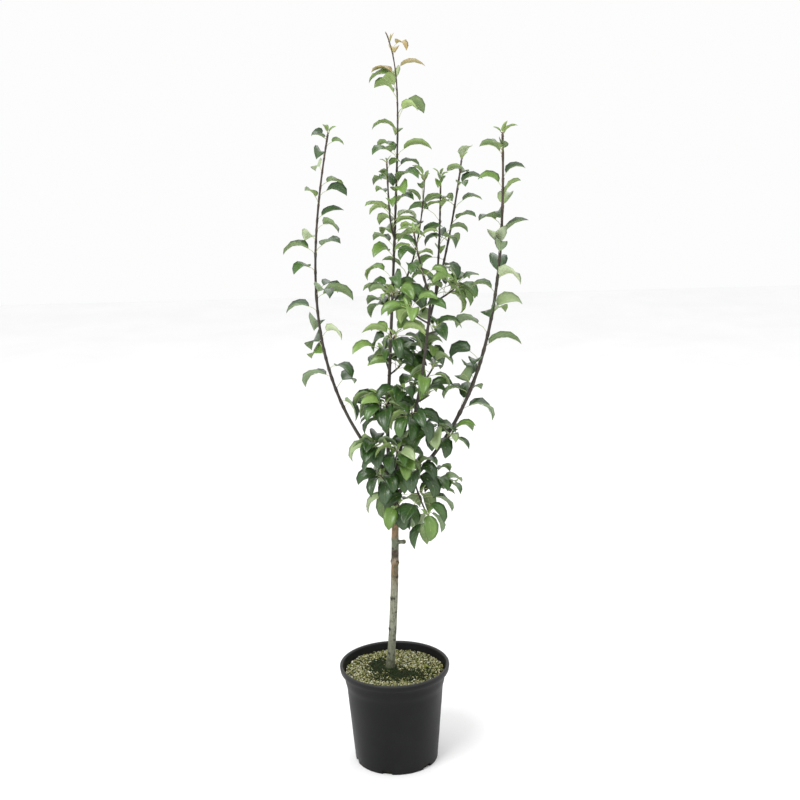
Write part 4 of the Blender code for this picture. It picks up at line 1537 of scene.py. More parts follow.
    def bit(self, kind: Chip, place: Vector, draw: random.Random) -> Solid:
        """One irregular chip or moss tuft that lies on the top.

        Args:
            kind: What it is.
            place: Its middle.
            draw: The seeded draw.

        Returns:
            Its points and faces.
        """
        ranges = self.tuft_half_sizes if kind is Chip.MOSS else self.chip_half_sizes
        size = [draw.uniform(low, high) for low, high in ranges]
        turn = Matrix.Rotation(draw.uniform(0.0, 2.0 * math.pi), 3, "Z")
        most_x, most_y = self.bit_tilts
        tilt = Matrix.Rotation(draw.uniform(-most_x, most_x), 3, "X")
        tilt = tilt @ Matrix.Rotation(draw.uniform(-most_y, most_y), 3, "Y")
        around = self.bit_sides
        points = []
        for level, spread in self.bit_levels:
            for step in range(around):
                angle = 2.0 * math.pi * step / around
                push = spread * draw.uniform(*self.bit_edge)
                across = size[0] * push * math.cos(angle)
                back = size[1] * push * math.sin(angle)
                points.append(place + turn @ tilt @ Vector((across, back, size[2] * level)))
        faces = [tuple(range(around))[::-1], tuple(range(around, 2 * around))]
        for step in range(around):
            after = (step + 1) % around
            faces.append((step, after, around + after, around + step))
        return points, faces


@dataclass(frozen=True)
class Knot:
    """A swelling or scar on the trunk: its height, heading, size, swelling and darkness."""

    height: float
    turn: float
    size: float
    swell: float
    dark: float = 0.0


@dataclass
class Wood:
    """The trunk and the boughs, each a limb with relief in its bark."""

    side_length: float = 0.0011
    ring_length: float = 0.0017
    bough_ring_length: float = 0.0030
    band_rings: int = 30
    foot_overlap: float = 0.0040
    fewest_sides: int = 16
    cut_share: float = 0.4
    relief: float = 0.00045
    relief_radius: float = 0.008
    lump_cells: tuple[float, float, float] = (60.0, 60.0, 26.0)
    lump_share: float = 1.1
    grain_cells: tuple[float, float, float] = (420.0, 420.0, 90.0)
    grain_share: float = 0.7
    knot_width: float = 0.75
    swell_tightness: float = 2.0
    scar_tightness: float = 3.2
    scar_fill: float = 2.2
    knots: tuple[Knot, ...] = (
        Knot(0.248, 232.0, 0.0042, 0.0004, 0.75),
        Knot(0.262, 60.0, 0.0050, 0.0006, 0.60),
        Knot(0.2797, 308.0, 0.0040, 0.0003, 0.85),
        Knot(0.3043, 214.0, 0.0048, 0.0015, 0.95),
        Knot(0.318, 95.0, 0.0048, 0.0008, 0.70),
        Knot(0.344, 312.0, 0.0040, 0.0005, 0.80),
        Knot(0.3752, 222.0, 0.0048, 0.0015, 0.95),
        Knot(0.3762, 262.0, 0.0040, 0.0003, 0.80),
        Knot(0.395, 140.0, 0.0046, 0.0007, 0.70),
        Knot(0.4248, 318.0, 0.0054, 0.0009, 0.95),
        Knot(0.4262, 292.0, 0.0040, 0.0003, 0.60),
        Knot(0.440, 30.0, 0.0050, 0.0007, 0.60),
        Knot(0.4585, 190.0, 0.0068, 0.0021, 0.00),
        Knot(0.4560, 345.0, 0.0064, 0.0018, 0.00),
        Knot(0.4560, 90.0, 0.0070, 0.0012, 0.30),
        Knot(0.4600, 306.0, 0.0030, 0.0004, 0.90),
        Knot(0.4740, 285.0, 0.0062, 0.0004, 0.60),
        Knot(0.4775, 240.0, 0.0064, 0.0006, 0.55),
        Knot(0.4830, 268.0, 0.0050, 0.0003, 0.70),
        Knot(0.4890, 225.0, 0.0034, 0.0004, 0.90),
        Knot(0.5080, 200.0, 0.0060, 0.0008, 0.25),
        Knot(0.5380, 60.0, 0.0060, 0.0010, 0.40),
        Knot(0.5600, 120.0, 0.0060, 0.0010, 0.40),
        Knot(0.6060, 350.0, 0.0140, 0.0022, 0.10),
        Knot(0.6340, 180.0, 0.0160, 0.0020, 0.10),
        Knot(0.6400, 280.0, 0.0150, 0.0016, 0.10),
        Knot(0.6400, 90.0, 0.0150, 0.0016, 0.10),
    )
    stub_height: float = 0.5020
    stub_turn: float = -14.0
    stub_lift: float = 0.10
    stub_length: float = 0.0190
    stub_sunk: float = 0.003
    stub_sides: int = 16
    stub_profile: tuple[tuple[float, float], ...] = (
        (0.0, 0.0064), (0.17, 0.0052), (0.32, 0.0043), (0.46, 0.0040), (0.60, 0.0044), (0.76, 0.0049),
        (0.88, 0.0045), (0.96, 0.0034), (1.0, 0.0017),
    )

    def bark(self) -> dict[str, Material]:
        """The bark of the trunk and that of the boughs.

        Returns:
            The two materials, by the name of the wood.
        """
        old = BarkFinish(
            "trunk_bark",
            (
                (0.0, srgb(64, 70, 50)), (0.05, srgb(112, 116, 96)), (0.25, srgb(142, 144, 127)),
                (0.45, srgb(138, 137, 119)), (0.50, srgb(126, 106, 78)), (0.555, srgb(122, 98, 72)),
                (0.57, srgb(150, 134, 118)), (0.59, srgb(98, 80, 68)), (0.625, srgb(90, 74, 63)),
                (0.64, srgb(110, 117, 98)), (0.675, srgb(106, 113, 94)), (0.70, srgb(142, 114, 86)),
                (0.76, srgb(146, 112, 84)), (0.86, srgb(104, 86, 74)), (1.0, srgb(78, 70, 62)),
            ),
            foot_height=SOIL_TOP_HEIGHT, top_height=0.650, shade=srgb(72, 74, 56), shade_share=0.80,
            pore=srgb(190, 190, 176), scar=srgb(34, 32, 24),
        )
        young = BarkFinish(
            "bough_bark",
            ((0.0, srgb(74, 72, 62)), (0.35, srgb(72, 68, 60)), (1.0, srgb(70, 60, 56))),
            foot_height=0.60, top_height=1.10, shade=srgb(46, 42, 40), shade_share=0.45,
            pore=srgb(134, 126, 114), scar=srgb(40, 36, 34), roughness=0.60,
        )
        return {"trunk": old.material(), "bough": young.material()}

    def build(self) -> None:
        """Build the trunk and every bough."""
        bark = self.bark()
        for limb in LIMBS:
            material = bark["trunk" if limb is TRUNK else "bough"]
            self.build_limb(limb, self.knots if limb is TRUNK else (), material)
        self.build_stub(bark["trunk"])

    def build_limb(self, limb: Limb, knots: tuple[Knot, ...], material: Material) -> None:
        """Shape one limb from a cylinder: cut into rings, led along its path and given relief.

        Args:
            limb: Its path and sizes.
            knots: Swellings on it.
            material: Its bark.
        """
        sides = max(self.fewest_sides, round(2.0 * math.pi * limb.foot_radius / self.side_length))
        overlap = self.foot_overlap / limb.speed(limb.start)
        start = limb.start if limb is TRUNK else limb.start - overlap
        end = limb.end + overlap
        spacing = self.ring_length if limb is TRUNK else self.bough_ring_length
        bands = math.ceil(limb.speed(0.5) * (end - start) / (spacing * self.band_rings))
        rings = bands * self.band_rings
        select_only()
        bpy.ops.mesh.primitive_cylinder_add(vertices=sides, radius=1.0, depth=1.0, location=(0.0, 0.0, 0.5))
        piece = bpy.context.active_object
        bpy.ops.object.transform_apply(location=True, rotation=True, scale=True)
        mesh = piece.data
        self.cut_upright(mesh, bands)
        self.cut_upright(mesh, self.band_rings)
        stations = [start + (end - start) * ring / rings for ring in range(rings + 1)]
        frames = limb.rings_at(stations)
        scars = []
        for vertex in mesh.vertices:
            ring = min(rings, max(0, round(vertex.co.z * rings)))
            centre, side, front = frames[ring]
            angle = math.atan2(vertex.co.y, vertex.co.x)
            outward = math.cos(angle) * side + math.sin(angle) * front
            radius = self.bark_radius(limb, stations[ring], centre, outward)
            swell, dark = self.knot_at(knots, radius, centre.z, outward)
            scars.append(dark)
            if ring == rings and limb is TRUNK:
                radius *= self.cut_share
            vertex.co = centre + (radius + swell) * outward
        mesh.attributes.new(SCAR, "FLOAT", "POINT").data.foreach_set("value", scars)
        mesh.shade_smooth()
        mesh.update()
        finish_piece(piece, limb.name + "_wood", [limb.name], [material])

    def cut_upright(self, mesh: bpy.types.Mesh, parts: int) -> None:
        """Cut each upright edge of a cylinder into parts.

        Args:
            mesh: The cylinder's mesh.
            parts: How many parts each edge becomes.
        """
        level = 1e-4
        if parts < 2:
            return
        bpy.ops.object.mode_set(mode="EDIT")
        bpy.ops.mesh.select_mode(type="EDGE")
        bpy.ops.mesh.select_all(action="DESELECT")
        bpy.ops.object.mode_set(mode="OBJECT")
        for edge in mesh.edges:
            first, second = (mesh.vertices[corner].co.z for corner in edge.vertices)
            edge.select = abs(first - second) > level
        bpy.ops.object.mode_set(mode="EDIT")
        bpy.ops.mesh.subdivide(number_cuts=parts - 1)
        bpy.ops.object.mode_set(mode="OBJECT")

    def bark_radius(self, limb: Limb, t: float, centre: Vector, outward: Vector) -> float:
        """Radius at one point of the bark.

        Args:
            limb: The limb.
            t: Station along it.
            centre: Middle of the limb there.
            outward: Direction from the middle.

        Returns:
            The radius with its grain and lumps.
        """
        radius = limb.radius(max(t, 0.0))
        spot = centre + outward * radius
        lumps = noise.noise(Vector([place * cells for place, cells in zip(spot, self.lump_cells)]))
        grain = noise.noise(Vector([place * cells for place, cells in zip(spot, self.grain_cells)]))
        scale = min(1.0, radius / self.relief_radius)
        return radius + self.relief * scale * (self.lump_share * lumps + self.grain_share * grain)

    def knot_at(
        self, knots: tuple[Knot, ...], radius: float, height: float, outward: Vector
    ) -> tuple[float, float]:
        """How far the knots swell one point of the bark, and how dark they make it.

        Args:
            knots: The knots.
            radius: Radius of the limb there.
            height: Height of the point.
            outward: Direction from the middle.

        Returns:
            The swelling in metres, and the darkness from 0 to 1.
        """
        swell = 0.0
        dark = 0.0
        for knot in knots:
            turn = math.atan2(outward.y, outward.x) - math.radians(knot.turn)
            turn = (turn + math.pi) % (2.0 * math.pi) - math.pi
            gap = math.hypot(height - knot.height, turn * radius * self.knot_width) / knot.size
            swell += knot.swell * math.exp(-self.swell_tightness * gap * gap)
            scar = self.scar_fill * math.exp(-self.scar_tightness * gap * gap)
            dark = max(dark, knot.dark * min(1.0, scar))
        return swell, dark

    def build_stub(self, material: Material) -> None:
        """Grow the short stub of a pruned shoot on the trunk.

        Args:
            material: Its bark.
        """
        t = (self.stub_height - TRUNK.foot[2]) / TRUNK.rise
        turn = math.radians(self.stub_turn)
        outward = Vector((math.cos(turn), math.sin(turn), self.stub_lift)).normalized()
        foot = TRUNK.point(t) + outward * (TRUNK.radius(t) - self.stub_sunk)
        side = Vector((0.0, 0.0, 1.0)) - outward * outward.z
        side.normalize()
        front = outward.cross(side)
        rings = [(foot + outward * (share * self.stub_length), side, front) for share, _ in self.stub_profile]
        heap = Heap()
        heap.add(*tube(rings, [radius for _, radius in self.stub_profile], self.stub_sides, closed_tip=False))
        heap.piece("trunk_stub", "bark", ["trunk"], [material])


@dataclass
class Crown:
    """The leafy shoots and spurs: their twigs, buds, stalks and leaves."""

    outline: tuple[tuple[float, float], ...] = (
        (0.0, 0.10), (0.07, 0.50), (0.20, 0.86), (0.39, 1.0), (0.60, 0.90), (0.79, 0.59), (0.92, 0.21),
    )
    across: tuple[float, ...] = (-1.0, -0.5, 0.0, 0.5, 1.0)
    blade_thickness: float = 0.00045
    fold_curve: float = 1.25
    ripple: float = 0.028
    ripple_waves: float = 13.0
    ripple_split: float = 1.7
    stalk_radius: float = 0.00062
    stalk_sides: int = 4
    stalk_sag: float = 0.10
    stalk_profile: tuple[tuple[float, float], ...] = ((0.0, 1.7), (0.10, 1.0), (0.55, 1.0))
    midrib_profile: tuple[tuple[float, float], ...] = (
        (0.0, 1.05), (0.25, 0.8625), (0.55, 0.6375), (0.85, 0.4125),
    )
    midrib_sunk: float = 0.25
    twig_sides: int = 9
    twig_ring: float = 0.0045
    fewest_rings: int = 6
    foot_overlap: float = 0.0045
    bud_length: float = 0.0042
    bud_sides: int = 5
    bud_profile: tuple[tuple[float, float], ...] = ((0.0, 0.20), (0.30, 0.27), (0.65, 0.16))
    bud_rise: float = 0.0022
    bud_out: float = 0.7
    bud_lean: float = 0.75
    side_bud: float = 0.8
    tip_bud: float = 1.2
    thinnest: float = 0.0007
    joint_swell: float = 0.28
    joint_spread: float = 0.004
    tone_climb: float = 0.10
    tone_spread: float = 0.16
    bronze_height: float = 1.47
    fresh_length: float = 0.030
    young_from: float = 0.60
    young_height: float = 1.05
    companion_every: int = 4
    companion_tries: int = 6
    tip_leaves: int = 3
    tip_turn: float = 60.0
    tip_step: float = 120.0
    tip_stray: float = 25.0
    tip_roll: float = 40.0
    tip_sizes: tuple[float, float] = (0.80, 1.15)
    tip_stalk: float = 0.006
    tip_length: float = 0.021
    tip_width: float = 0.0085
    tip_rises: tuple[float, float] = (52.0, 82.0)
    tip_arches: tuple[float, float] = (15.0, 60.0)
    top_tip_width: float = 0.0050
    top_tip_rises: tuple[float, float] = (70.0, 84.0)
    top_tip_arches: tuple[float, float] = (15.0, 25.0)
    top_tip_drop: float = 0.020
    shoot_rise: float = 0.20
    spur_tip_share: float = 0.9
    slim_height: tuple[float, float] = (0.75, 1.10)
    slim_share: float = 0.12
    middle: float = 0.035
    outer_from: float = 0.115
    outer_width: float = 1.06
    turns: tuple[float, ...] = (0.0, 9.0, -9.0, 18.0, -18.0, 27.0, -27.0)
    lifts: tuple[float, ...] = (0.0, 9.0, -9.0, 18.0, -18.0)
    seed: int = 11
    limbs: list[BVHTree] = field(default_factory=list)
    stems: dict[str, BVHTree] = field(default_factory=dict)
    placed: dict[str, list[tuple[BVHTree, BVHTree]]] = field(default_factory=dict)

    def build(self) -> None:
        """Place every leaf, then make the twigs, buds, stalks and blades."""
        self.limbs = [self.plain_tree(limb) for limb in LIMBS]
        self.stems = {mass.stem.name: self.plain_tree(mass.stem) for mass in MASSES}
        self.placed = {name: [] for name in LEAFY_NODES}
        kept = {mass.stem.name: self.place(mass) for mass in MASSES}
        found = {name: list(leaves.values()) for name, leaves in kept.items()}
        for mass in MASSES:
            found[mass.stem.name] += self.squeeze_in(mass, kept[mass.stem.name])
            found[mass.stem.name] += self.companions(mass)
        for mass in MASSES:
            found[mass.stem.name] += self.tip_tuft(mass)
        leaves = [(mass, leaf) for mass in MASSES for leaf in found[mass.stem.name]]
        LOG.info("leaves: %d", len(leaves))
        self.build_twigs(found)
        self.build_buds(leaves)
        self.build_stalks([leaf for _, leaf in leaves])
        self.build_blades(leaves)

    def plain_tree(self, limb: Limb) -> BVHTree:
        """Search tree of a limb as the part has it.

        Args:
            limb: The limb.

        Returns:
            Its search tree.
        """
        step = (limb.end - limb.start) / (limb.rings - 1)
        stations = [limb.start + step * ring for ring in range(limb.rings)]
        radii = [limb.radius(t) for t in stations]
        return BVHTree.FromPolygons(*tube(limb.rings_at(stations), radii, limb.sides, closed_tip=False))

    def trees(self, leaf: Leaf, extra: float) -> tuple[BVHTree, BVHTree]:
        """Search trees of a plain leaf and of its blade alone."""
        points, faces = leaf.stand_in(extra)
        return BVHTree.FromPolygons(points, faces), BVHTree.FromPolygons(points, faces[STALK_FACES:])

    def place(self, mass: Foliage) -> dict[int, Leaf]:
        """Find room for the leaves of one mass by the part's own rule.

        Args:
            mass: The mass.

        Returns:
            The leaves that are clear of every limb, stem and leaf, by number.
        """
        kept = {}
        for index in range(mass.count):
            tries = (mass.leaf(index, attempt) for attempt in range(LEAF_TRIES))
            for leaf in self.first_clear(mass.stem.name, tries, LEAF_CLEARANCE, 0.0):
                kept[index] = leaf
        return kept

    def first_clear(
        self, name: str, tries: Iterable[Leaf], room: float = GRAZE_CLEARANCE, size: float = GRAZE_CLEARANCE,
        tip: bool = False,
    ) -> list[Leaf]:
        """The first of some leaves that is clear where it stands, which keeps its place there.

        Args:
            name: The stem it grows on.
            tries: The leaves, in order.
            room: How much fatter each is while its room is looked for.
            size: How much fatter it counts for the leaves that come after it.
            tip: Whether it opens at the tip, where the young leaves touch one another.

        Returns:
            That leaf alone, or nothing where none is clear.
        """
        for leaf in tries:
            if self.is_clear(name, *self.trees(leaf, room), tip):
                self.placed[name].append(self.trees(leaf, size))
                return [leaf]
        return []

    def squeeze_in(self, mass: Foliage, kept: dict[int, Leaf]) -> list[Leaf]:
        """Turn or lift the leaves that found no room until they do.

        Args:
            mass: The mass.
            kept: The leaves it already has.

        Returns:
            The further leaves.
        """
        moves = [(turn, lift) for turn in self.turns for lift in self.lifts]
        moves.sort(key=lambda move: abs(move[0]) + abs(move[1]))
        more = []
        for index in range(mass.count):
            if index not in kept:
                leaf = mass.leaf(index, 0)
                more += self.first_clear(mass.stem.name, (leaf.moved(*move) for move in moves))
        return more

    def companions(self, mass: Foliage) -> list[Leaf]:
        """Second leaves beside some of a mass's own, drawn on by the same rule.

        Args:
            mass: The mass.

        Returns:
            Those that find room.
        """
        attempts = range(LEAF_TRIES, LEAF_TRIES + self.companion_tries)
        more = []
        for index in range(0, mass.count, self.companion_every):
            more += self.first_clear(mass.stem.name, (mass.leaf(index, attempt) for attempt in attempts))
        return more

    def tip_tuft(self, mass: Foliage) -> list[Leaf]:
        """The small upright leaves that open at the tip of a shoot or spur.

        Args:
            mass: The mass that ends in them.

        Returns:
            Those that find room.
        """
        draw = random.Random(mass.stem.name)
        stem = mass.stem
        scale = 1.0 if stem.rise > self.shoot_rise else self.spur_tip_share
        station, width, rises, arches = stem.end, self.tip_width, self.tip_rises, self.tip_arches
        if mass is LEADER_MASS:
            station -= self.top_tip_drop / stem.speed(stem.end)
            width, rises, arches = self.top_tip_width, self.top_tip_rises, self.top_tip_arches
        tuft = []
        for index in range(self.tip_leaves):
            size = draw.uniform(*self.tip_sizes) * scale
            turn = mass.phase + self.tip_turn + self.tip_step * index
            leaf = Leaf(
                root=stem.point(station),
                station=station,
                azimuth=math.radians(turn + draw.uniform(-self.tip_stray, self.tip_stray)),
                rise=math.radians(draw.uniform(*rises)),
                arch=math.radians(draw.uniform(*arches)),
                roll=math.radians(draw.uniform(-self.tip_roll, self.tip_roll)),
                stalk=self.tip_stalk * size,
                length=self.tip_length * size,
                width=width * size,
            )
            tuft += self.first_clear(stem.name, [leaf], tip=True)
        return tuft

    def is_clear(self, name: str, whole: BVHTree, blade: BVHTree, tip: bool) -> bool:
        """Whether a leaf touches nothing but its own stem's wood and stalks.

        Args:
            name: The stem it grows on.
            whole: Tree of the whole leaf.
            blade: Tree of its blade.
            tip: Whether it opens at the tip, where the young leaves touch one another.

        Returns:
            True where it is clear.
        """
        others = self.limbs + [tree for stem, tree in self.stems.items() if stem != name]
        for stem, leaves in self.placed.items():
            if stem != name:
                others += [tree for tree, _ in leaves]
        if any(whole.overlap(tree) for tree in others) or blade.overlap(self.stems[name]):
            return False
        own = [] if tip else self.placed[name]
        return not any(blade.overlap(tree) or whole.overlap(other) for tree, other in own)

    def build_twigs(self, found: dict[str, list[Leaf]]) -> None:
        """Make the wood of every shoot and spur, thicker at each leaf, with its skin by how young it is.

        Args:
            found: Leaves on each stem.
        """
        heap = Heap()
        for mass in MASSES:
            stem = mass.stem
            start = stem.start - self.foot_overlap / stem.speed(stem.start)
            count = max(self.fewest_rings, round(stem.speed(0.5) * (stem.end - start) / self.twig_ring))
            stations = [start + (stem.end - start) * ring / count for ring in range(count + 1)]
            joints = [leaf.station for leaf in found[stem.name]]
            radii = []
            for t in stations:
                gaps = [(t - joint) * stem.speed(t) / self.joint_spread for joint in joints]
                swell = max((math.exp(-gap * gap) for gap in gaps), default=0.0)
                radii.append(max(stem.radius(t), self.thinnest) * (1.0 + self.joint_swell * swell))
            points, faces = tube(stem.rings_at(stations), radii, self.twig_sides)
            places = []
            for index, point in enumerate(points):
                t = stations[min(count, index // self.twig_sides)]
                youth = (t - self.young_from) / (1.0 - self.young_from)
                youth = max(0.0, min(1.0, youth)) if point.z > self.young_height else 0.0
                places.append((youth, 0.5))
            heap.add(points, faces, places=places)
        bark = ShootFinish(
            "shoot_skin", ripe=(srgb(46, 41, 35), srgb(66, 60, 51)),
            young=(srgb(66, 54, 48), srgb(92, 77, 67)), pore=srgb(110, 101, 88),
        )
        heap.piece("twigs", "foliage", LEAFY_NODES, [bark.material()])

    def build_buds(self, leaves: list[tuple[Foliage, Leaf]]) -> None:
        """Set a small pointed bud above each leaf's root and on each twig's tip.

        Args:
            leaves: Every leaf with its mass.
        """
        heap = Heap()
        for mass, leaf in leaves:
            stem = mass.stem
            outward = Vector((math.cos(leaf.azimuth), math.sin(leaf.azimuth), 0.0))
            up = stem.tangent(leaf.station)
            radius = max(stem.radius(leaf.station), self.thinnest)
            foot = leaf.root + up * self.bud_rise + outward * radius * self.bud_out
            along = (up + self.bud_lean * outward).normalized()
            self.add_bud(heap, foot, along, self.bud_length * self.side_bud)
        for mass in MASSES:
            tip = mass.stem.tangent(mass.stem.end)
            self.add_bud(heap, mass.stem.point(mass.stem.end), tip, self.bud_length * self.tip_bud)
        bud = TwigFinish("bud_scales", srgb(96, 70, 54), srgb(134, 104, 78))
        heap.piece("buds", "foliage", LEAFY_NODES, [bud.material()])

    def add_bud(self, heap: Heap, foot: Vector, along: Vector, length: float) -> None:
        """Add one bud, a small spindle that comes to a point.

        Args:
            heap: Where it is gathered.
            foot: Its foot.
            along: The way it points.
            length: Its length.
        """
        side = along.orthogonal().normalized()
        front = along.cross(side)
        rings = [(foot + along * (place * length), side, front) for place, _ in self.bud_profile]
        points, faces = tube(rings, [share * length for _, share in self.bud_profile], self.bud_sides)
        points[-1] = foot + along * length
        heap.add(points, faces)

    def build_stalks(self, leaves: list[Leaf]) -> None:
        """Make each leaf's stalk, which runs on under the blade as its midrib.

        Args:
            leaves: Every leaf.
        """
        heap = Heap()
        profile = self.stalk_profile + self.midrib_profile
        radii = [self.stalk_radius * thickness for _, thickness in profile]
        for leaf in leaves:
            along, side, face = leaf.frame(leaf.rise)
            rings = []
            for share, _ in self.stalk_profile:
                sag = face * leaf.stalk * self.stalk_sag * math.sin(math.pi * share)
                rings.append((leaf.root + along * leaf.stalk * share + sag, side, -face))
            for u, _ in self.midrib_profile:
                rib, angle = leaf.midrib(u)
                _, side, face = leaf.frame(angle)
                rings.append((rib - face * (self.blade_thickness * self.midrib_sunk), side, -face))
            points, faces = tube(rings, radii, self.stalk_sides)
            heap.add(points, [corners[::-1] for corners in faces])
        stalk = TwigFinish("stalks", srgb(164, 174, 116), srgb(190, 196, 146), roughness=0.45)
        heap.piece("leaf_stalks", "foliage", LEAFY_NODES, [stalk.material()])

    def tone(self, mass: Foliage, leaf: Leaf, draw: random.Random) -> Tone:
        """Colour of one leaf, by its height, its place on the twig, painted shade on some shoots and a draw.

        Args:
            mass: The mass it belongs to.
            leaf: The leaf.
            draw: The seeded draw.

        Returns:
            Its tone.
        """
        height = leaf.root.z
        if mass is LEADER_MASS and height > self.bronze_height:
            return Tone.BRONZE
        if leaf.length < self.fresh_length:
            return Tone.FRESH
        # Leaves of some shoots are lowered to darker tones: painted shade.
        painted_shade = PAINTED_SHADE_SHOOTS.get(mass.stem.name, 0.0)
        stray = draw.uniform(-self.tone_spread, self.tone_spread)
        age_and_shade = height + self.tone_climb * leaf.station - painted_shade + stray
        tones, shares = next(band[1:] for band in TONE_BANDS if age_and_shade < band[0])
        return draw.choices(tones, shares)[0]

    def build_blades(self, leaves: list[tuple[Foliage, Leaf]]) -> None:
        """Make the blades, joined by colour.

        Args:
            leaves: Every leaf with its mass.
        """
        draw = random.Random(self.seed)
        heaps = {tone: Heap() for tone in Tone}
        for mass, leaf in leaves:
            tone = self.tone(mass, leaf, draw)
            heaps[tone].add(*self.blade(leaf, draw))
        for tone, heap in heaps.items():
            if not heap.faces:
                continue
            upper = LeafFinish(
                "upper_" + tone.value, *LEAF_COLOURS[tone], VEIN_COLOUR,
                vein_strength=0.11, roughness=0.33, specular=0.6,
            )
            under = LeafFinish(
                "under_" + tone.value, *UNDER_COLOURS[tone], VEIN_COLOUR,
                vein_strength=0.30, roughness=0.62, specular=0.25,
            )
            heap.piece("leaves_" + tone.value, "foliage", LEAFY_NODES, [upper.material(), under.material()])

    def blade(
        self, leaf: Leaf, draw: random.Random
    ) -> tuple[list[Vector], list[tuple[int, ...]], list[int], list[tuple[float, float]]]:
        """One blade: a folded, gently rippled skin above and a paler one below.

        Args:
            leaf: Its place and sizes.
            draw: The seeded draw.

        Returns:
            Its points, its faces, the skin of each face, and each point's place on the leaf's own map.
        """
        fold = math.radians(FOLD_DEGREES)
        places = []
        wave = draw.uniform(0.0, 2.0 * math.pi)
        low, high = self.slim_height
        slim = 1.0 - self.slim_share * min(1.0, max(0.0, (leaf.root.z - low) / (high - low)))
        if abs(leaf.root.x - self.middle) > self.outer_from:
            slim = self.outer_width
        points = []
        upper_rows = []
        under_rows = []
        for u, share in self.outline:
            rib, angle = leaf.midrib(u)
            _, side, face = leaf.frame(angle)
            half = 0.5 * leaf.width * share * slim
            upper = []
            under = []
            for v in self.across:
                lift = half * math.sin(fold) * abs(v) ** self.fold_curve
                ripple = self.ripple * leaf.width * abs(v) ** 2 * share
                beat = self.ripple_waves * u + wave + self.ripple_split * math.copysign(1.0, v)
                lift += ripple * math.sin(beat)
                spot = rib + side * (v * half * math.cos(fold)) + face * lift
                half_wall = 0.0 if abs(v) == 1.0 else 0.5 * self.blade_thickness
                upper.append(len(points))
                if half_wall:
                    points.append(spot + face * half_wall)
                    places.append((u, 0.5 + 0.5 * v))
                under.append(len(points))
                points.append(spot - face * half_wall)
                places.append((u, 0.5 + 0.5 * v))
            upper_rows.append(upper)
            under_rows.append(under)
        tip = len(points)
        points.append(leaf.midrib(1.0)[0])
        places.append((1.0, 0.5))
        faces = []
        skins = []
        last = len(self.across) - 1
        for row in range(len(self.outline) - 1):
            here, after = upper_rows[row], upper_rows[row + 1]
            faces += [(here[j], after[j], after[j + 1], here[j + 1]) for j in range(last)]
            skins += [0] * last
            here, after = under_rows[row], under_rows[row + 1]
            faces += [(here[j], here[j + 1], after[j + 1], after[j]) for j in range(last)]
            skins += [1] * last
        here, under = upper_rows[-1], under_rows[-1]
        faces += [(here[j], tip, here[j + 1]) for j in range(last)]
        faces += [(under[j], under[j + 1], tip) for j in range(last)]
        skins += [0] * last + [1] * last
        faces.append(tuple(upper_rows[0]) + tuple(under_rows[0][1:-1][::-1]))
        skins.append(1)
        return points, faces, skins, places


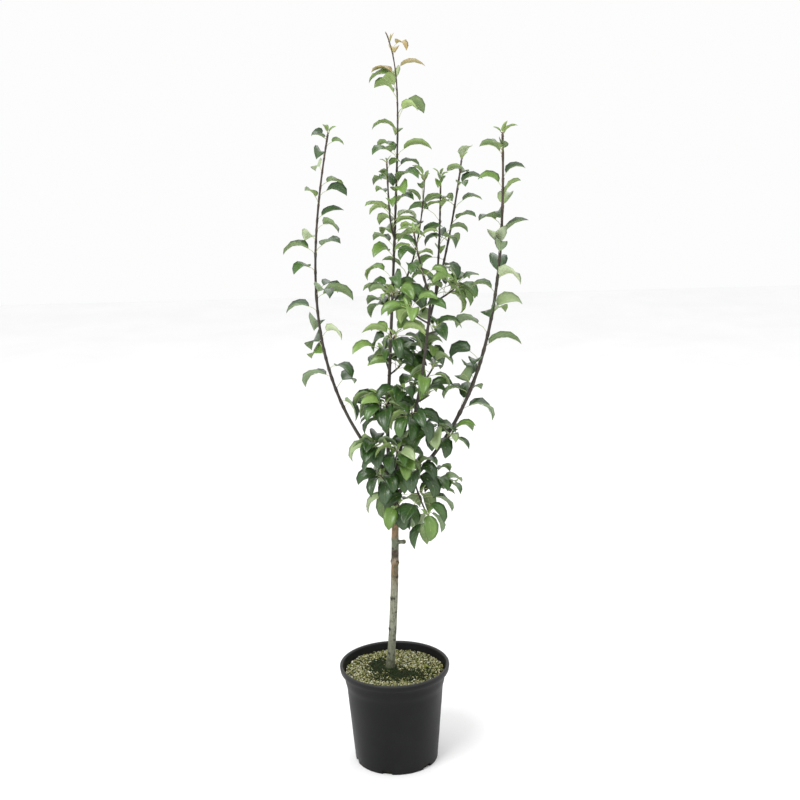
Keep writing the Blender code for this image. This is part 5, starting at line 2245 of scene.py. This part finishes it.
@dataclass
class Studio:
    """Plain floor, soft light and the camera at the photograph's place."""

    camera_place: tuple[float, float, float] = (0.0, -2.8365, 1.5273)
    pitch: float = 14.086
    roll: float = 1.3324
    yaw: float = 0.5113
    lens: float = 63.0
    sensor: float = 36.0
    near_clip: float = 0.05
    sky: Colour = (1.0, 1.0, 1.0)
    sky_strength: float = 0.98
    floor_size: float = 12.0
    floor_tints: tuple[Colour, Colour] = ((0.93, 0.93, 0.93), (0.96, 0.96, 0.96))
    lamps: tuple[tuple[str, tuple[float, float, float], float, float], ...] = (
        ("key", (-1.4, -1.8, 3.4), 1.6, 78.0), ("fill", (2.4, -1.8, 1.8), 2.4, 6.0),
        ("rim", (0.6, 2.6, 2.8), 2.2, 14.0),
    )
    aim_height: float = 0.8

    def build(self) -> None:
        """Set up the floor, the light and the camera."""
        self.build_floor()
        self.build_light()
        self.build_camera()

    def build_floor(self) -> None:
        """Lay a wide pale floor under the pot."""
        select_only()
        bpy.ops.mesh.primitive_plane_add(size=self.floor_size, location=(0.0, 0.0, 0.0))
        floor = bpy.context.active_object
        floor.name = "floor"
        bench = NodeBench("pale_floor", roughness=0.8, specular=0.2)
        clouds = bench.noise(bench.place(), scale=3.0, detail=2.0)
        bench.colour(bench.mix(bench.spread(clouds, low=0.3, high=0.7), *self.floor_tints))
        floor.data.materials.append(bench.material)

    def build_light(self) -> None:
        """Set up an even sky light and the large soft lamps."""
        world = bpy.data.worlds.new("soft_sky")
        world.use_nodes = True
        background = world.node_tree.nodes["Background"]
        background.inputs["Color"].default_value = (*self.sky, 1.0)
        background.inputs["Strength"].default_value = self.sky_strength
        bpy.context.scene.world = world
        bpy.context.scene.view_settings.view_transform = "Standard"
        for lamp in self.lamps:
            self.add_lamp(*lamp)

    def add_lamp(self, name: str, place: tuple[float, float, float], size: float, power: float) -> None:
        """Add a square lamp that faces the middle of the plant.

        Args:
            name: The lamp's name.
            place: Where it stands.
            size: Its width.
            power: Its power in watts.
        """
        data = bpy.data.lights.new(name, "AREA")
        data.size = size
        data.energy = power
        lamp = bpy.data.objects.new(name, data)
        lamp.location = place
        aim = Vector((0.0, 0.0, self.aim_height)) - Vector(place)
        lamp.rotation_euler = aim.to_track_quat("-Z", "Y").to_euler()
        bpy.context.scene.collection.objects.link(lamp)

    def build_camera(self) -> None:
        """Set up the camera, at the photograph's place, tilt and field of view."""
        pitch, roll, yaw = (math.radians(value) for value in (self.pitch, self.roll, self.yaw))
        level = Vector((math.sin(yaw), math.cos(yaw), 0.0))
        forward = level * math.cos(pitch) - Vector((0.0, 0.0, math.sin(pitch)))
        right = Vector((math.cos(yaw), -math.sin(yaw), 0.0))
        up = right.cross(forward)
        across = right * math.cos(roll) - up * math.sin(roll)
        above = right * math.sin(roll) + up * math.cos(roll)
        data = bpy.data.cameras.new("photo_camera")
        data.lens = self.lens
        data.sensor_width = self.sensor
        data.sensor_fit = "HORIZONTAL"
        data.clip_start = self.near_clip
        camera = bpy.data.objects.new("photo_camera", data)
        turn = Matrix((across, above, -forward)).transposed().to_4x4()
        camera.matrix_world = Matrix.Translation(self.camera_place) @ turn
        bpy.context.scene.collection.objects.link(camera)
        bpy.context.scene.camera = camera


def main() -> None:
    """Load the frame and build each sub-assembly."""
    logging.basicConfig(level=logging.INFO, format="%(message)s")
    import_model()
    Studio().build()
    Pot().build()
    Soil().build()
    Wood().build()
    Crown().build()


if __name__ == "__main__":
    main()
